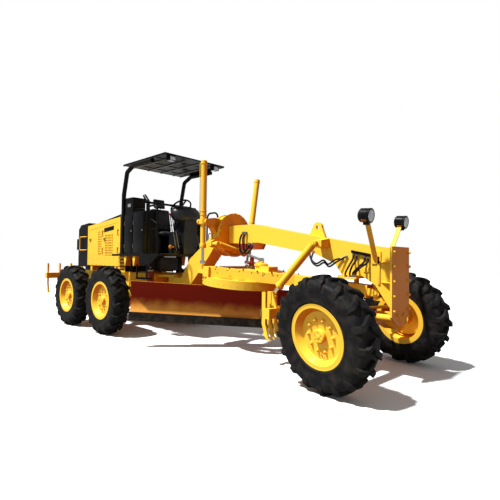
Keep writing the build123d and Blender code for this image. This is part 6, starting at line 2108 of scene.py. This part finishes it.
NODE_FINISHES = {
    "operator_platform": Finish.BLACK,
    "side_cabinets": Finish.BLACK,
    "control_console": Finish.GREY_PLASTIC,
    "operator_seat": Finish.VINYL,
    "guard_frame": Finish.BLACK,
    "canopy_roof": Finish.ROOF_BLACK,
    "radiator_housing": Finish.BLACK,
    "exhaust_pipe": Finish.BLACK,
    "engine_block": Finish.ENGINE,
    "cutting_edge": Finish.EDGE,
    "mouldboard": Finish.BLADE_ORANGE,
    "lift_rod_right": Finish.CHROME,
    "lift_rod_left": Finish.CHROME,
    "centre_shift_rod": Finish.CHROME,
    "scarifier_rod": Finish.CHROME,
    "ripper_rod": Finish.CHROME,
}


@dataclass
class Studio:
    """Camera, lights, floor and world.

    Args:
        shop: where materials come from.
        axle_x: X of the front axle, where the camera's place is measured from.
        stand_off: the camera's place from there, at ground height.
        yaw_deg: way that the camera looks, turned left from straight ahead.
        pitch_deg: how far it looks up.
        roll_deg: how far it leans.
        lens_mm: focal length for a film width of 36 mm.
        sun_from: way towards the sun.
        sun_strength: strength of the sun.
        sun_spread_deg: how wide the sun looks.
        sky_strength: strength of the soft light from all round.
        floor_size: length of the floor's sides.
    """

    shop: Paintshop
    axle_x: float
    stand_off: Point = (2.337, -4.714, 1.432)
    yaw_deg: float = 133.276
    pitch_deg: float = 1.494
    roll_deg: float = 0.676
    lens_mm: float = 28.64
    sun_from: Point = (-0.38, -0.82, 1.55)
    sun_strength: float = 6.2
    sun_spread_deg: float = 3.0
    sky_strength: float = 0.30
    floor_size: float = 80.0

    def add_camera(self) -> None:
        """Put the camera where the photograph was taken."""
        yaw, pitch, roll = (math.radians(a) for a in (self.yaw_deg, self.pitch_deg, self.roll_deg))
        ahead = Vector((math.cos(yaw) * math.cos(pitch), math.sin(yaw) * math.cos(pitch), math.sin(pitch)))
        right = ahead.cross(UPWARD).normalized()
        up = right.cross(ahead)
        tilted_right = right * math.cos(roll) + up * math.sin(roll)
        tilted_up = up * math.cos(roll) - right * math.sin(roll)
        data = bpy.data.cameras.new("photo_camera")
        data.lens = self.lens_mm
        data.sensor_width = 36.0
        data.clip_end = 300.0
        camera = bpy.data.objects.new("photo_camera", data)
        x, y, z = self.stand_off
        turn = Matrix((tilted_right, tilted_up, -ahead)).transposed()
        camera.matrix_world = Matrix.Translation((self.axle_x + x, y, z)) @ turn.to_4x4()
        bpy.context.scene.collection.objects.link(camera)
        bpy.context.scene.camera = camera

    def add_floor(self) -> None:
        """Lay the pale floor."""
        half = self.floor_size / 2
        mesh = bmesh.new()
        signs = ((-1, -1), (1, -1), (1, 1), (-1, 1))
        mesh.faces.new([mesh.verts.new((x * half, y * half, -0.002)) for x, y in signs])
        data = bpy.data.meshes.new("studio_floor")
        mesh.to_mesh(data)
        mesh.free()
        data.materials.append(self.shop.get(Finish.FLOOR))
        floor = bpy.data.objects.new("studio_floor", data)
        bpy.context.scene.collection.objects.link(floor)

    def add_lights(self) -> None:
        """Add the sun and the world's soft light, with a white backdrop for what looks at it."""
        data = bpy.data.lights.new("key_sun", "SUN")
        data.energy = self.sun_strength
        data.angle = math.radians(self.sun_spread_deg)
        sun = bpy.data.objects.new("key_sun", data)
        sun.rotation_euler = Vector(self.sun_from).to_track_quat("Z", "Y").to_euler()
        bpy.context.scene.collection.objects.link(sun)
        world = bpy.data.worlds.new("studio_world")
        bpy.context.scene.world = world
        world.use_nodes = True
        nodes, links = world.node_tree.nodes, world.node_tree.links
        soft = nodes["Background"]
        soft.inputs["Color"].default_value = (1.0, 1.0, 1.0, 1.0)
        soft.inputs["Strength"].default_value = self.sky_strength
        white = nodes.new("ShaderNodeBackground")
        white.inputs["Color"].default_value = (1.0, 1.0, 1.0, 1.0)
        rays = nodes.new("ShaderNodeLightPath")
        seen = nodes.new("ShaderNodeMath")
        seen.operation = "MAXIMUM"
        links.new(rays.outputs["Is Camera Ray"], seen.inputs[0])
        links.new(rays.outputs["Is Transmission Ray"], seen.inputs[1])
        mix = nodes.new("ShaderNodeMixShader")
        links.new(seen.outputs["Value"], mix.inputs["Fac"])
        links.new(soft.outputs["Background"], mix.inputs[1])
        links.new(white.outputs["Background"], mix.inputs[2])
        links.new(mix.outputs["Shader"], nodes["World Output"].inputs["Surface"])

    def build(self) -> None:
        """Set up camera, floor, lights and colour handling."""
        self.add_camera()
        self.add_floor()
        self.add_lights()
        bpy.context.scene.view_settings.view_transform = "Standard"


def main() -> None:
    """Load the frame, dress it and report each piece."""
    logging.basicConfig(level=logging.INFO, format="%(message)s")
    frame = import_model()
    rig = Rig({joint["name"]: joint for joint in frame["joints"]})
    shop = Paintshop()
    for name, node in frame["nodes"].items():
        shop.coat(node, Finish.RIM_YELLOW if "_rim_" in name else NODE_FINISHES.get(name, Finish.YELLOW))
    Studio(shop, rig.place("axle_swing").x).build()
    kinds = (Running, Nose, Saddle, CircleDrive, BladeTrim, CylinderTrim, DriverSeat, Cab, HoodTrim, Tines)
    for kind in kinds:
        for piece in kind(rig, shop).build():
            LOG.info("%s: %s", kind.__name__, piece.name)


if __name__ == "__main__":
    main()
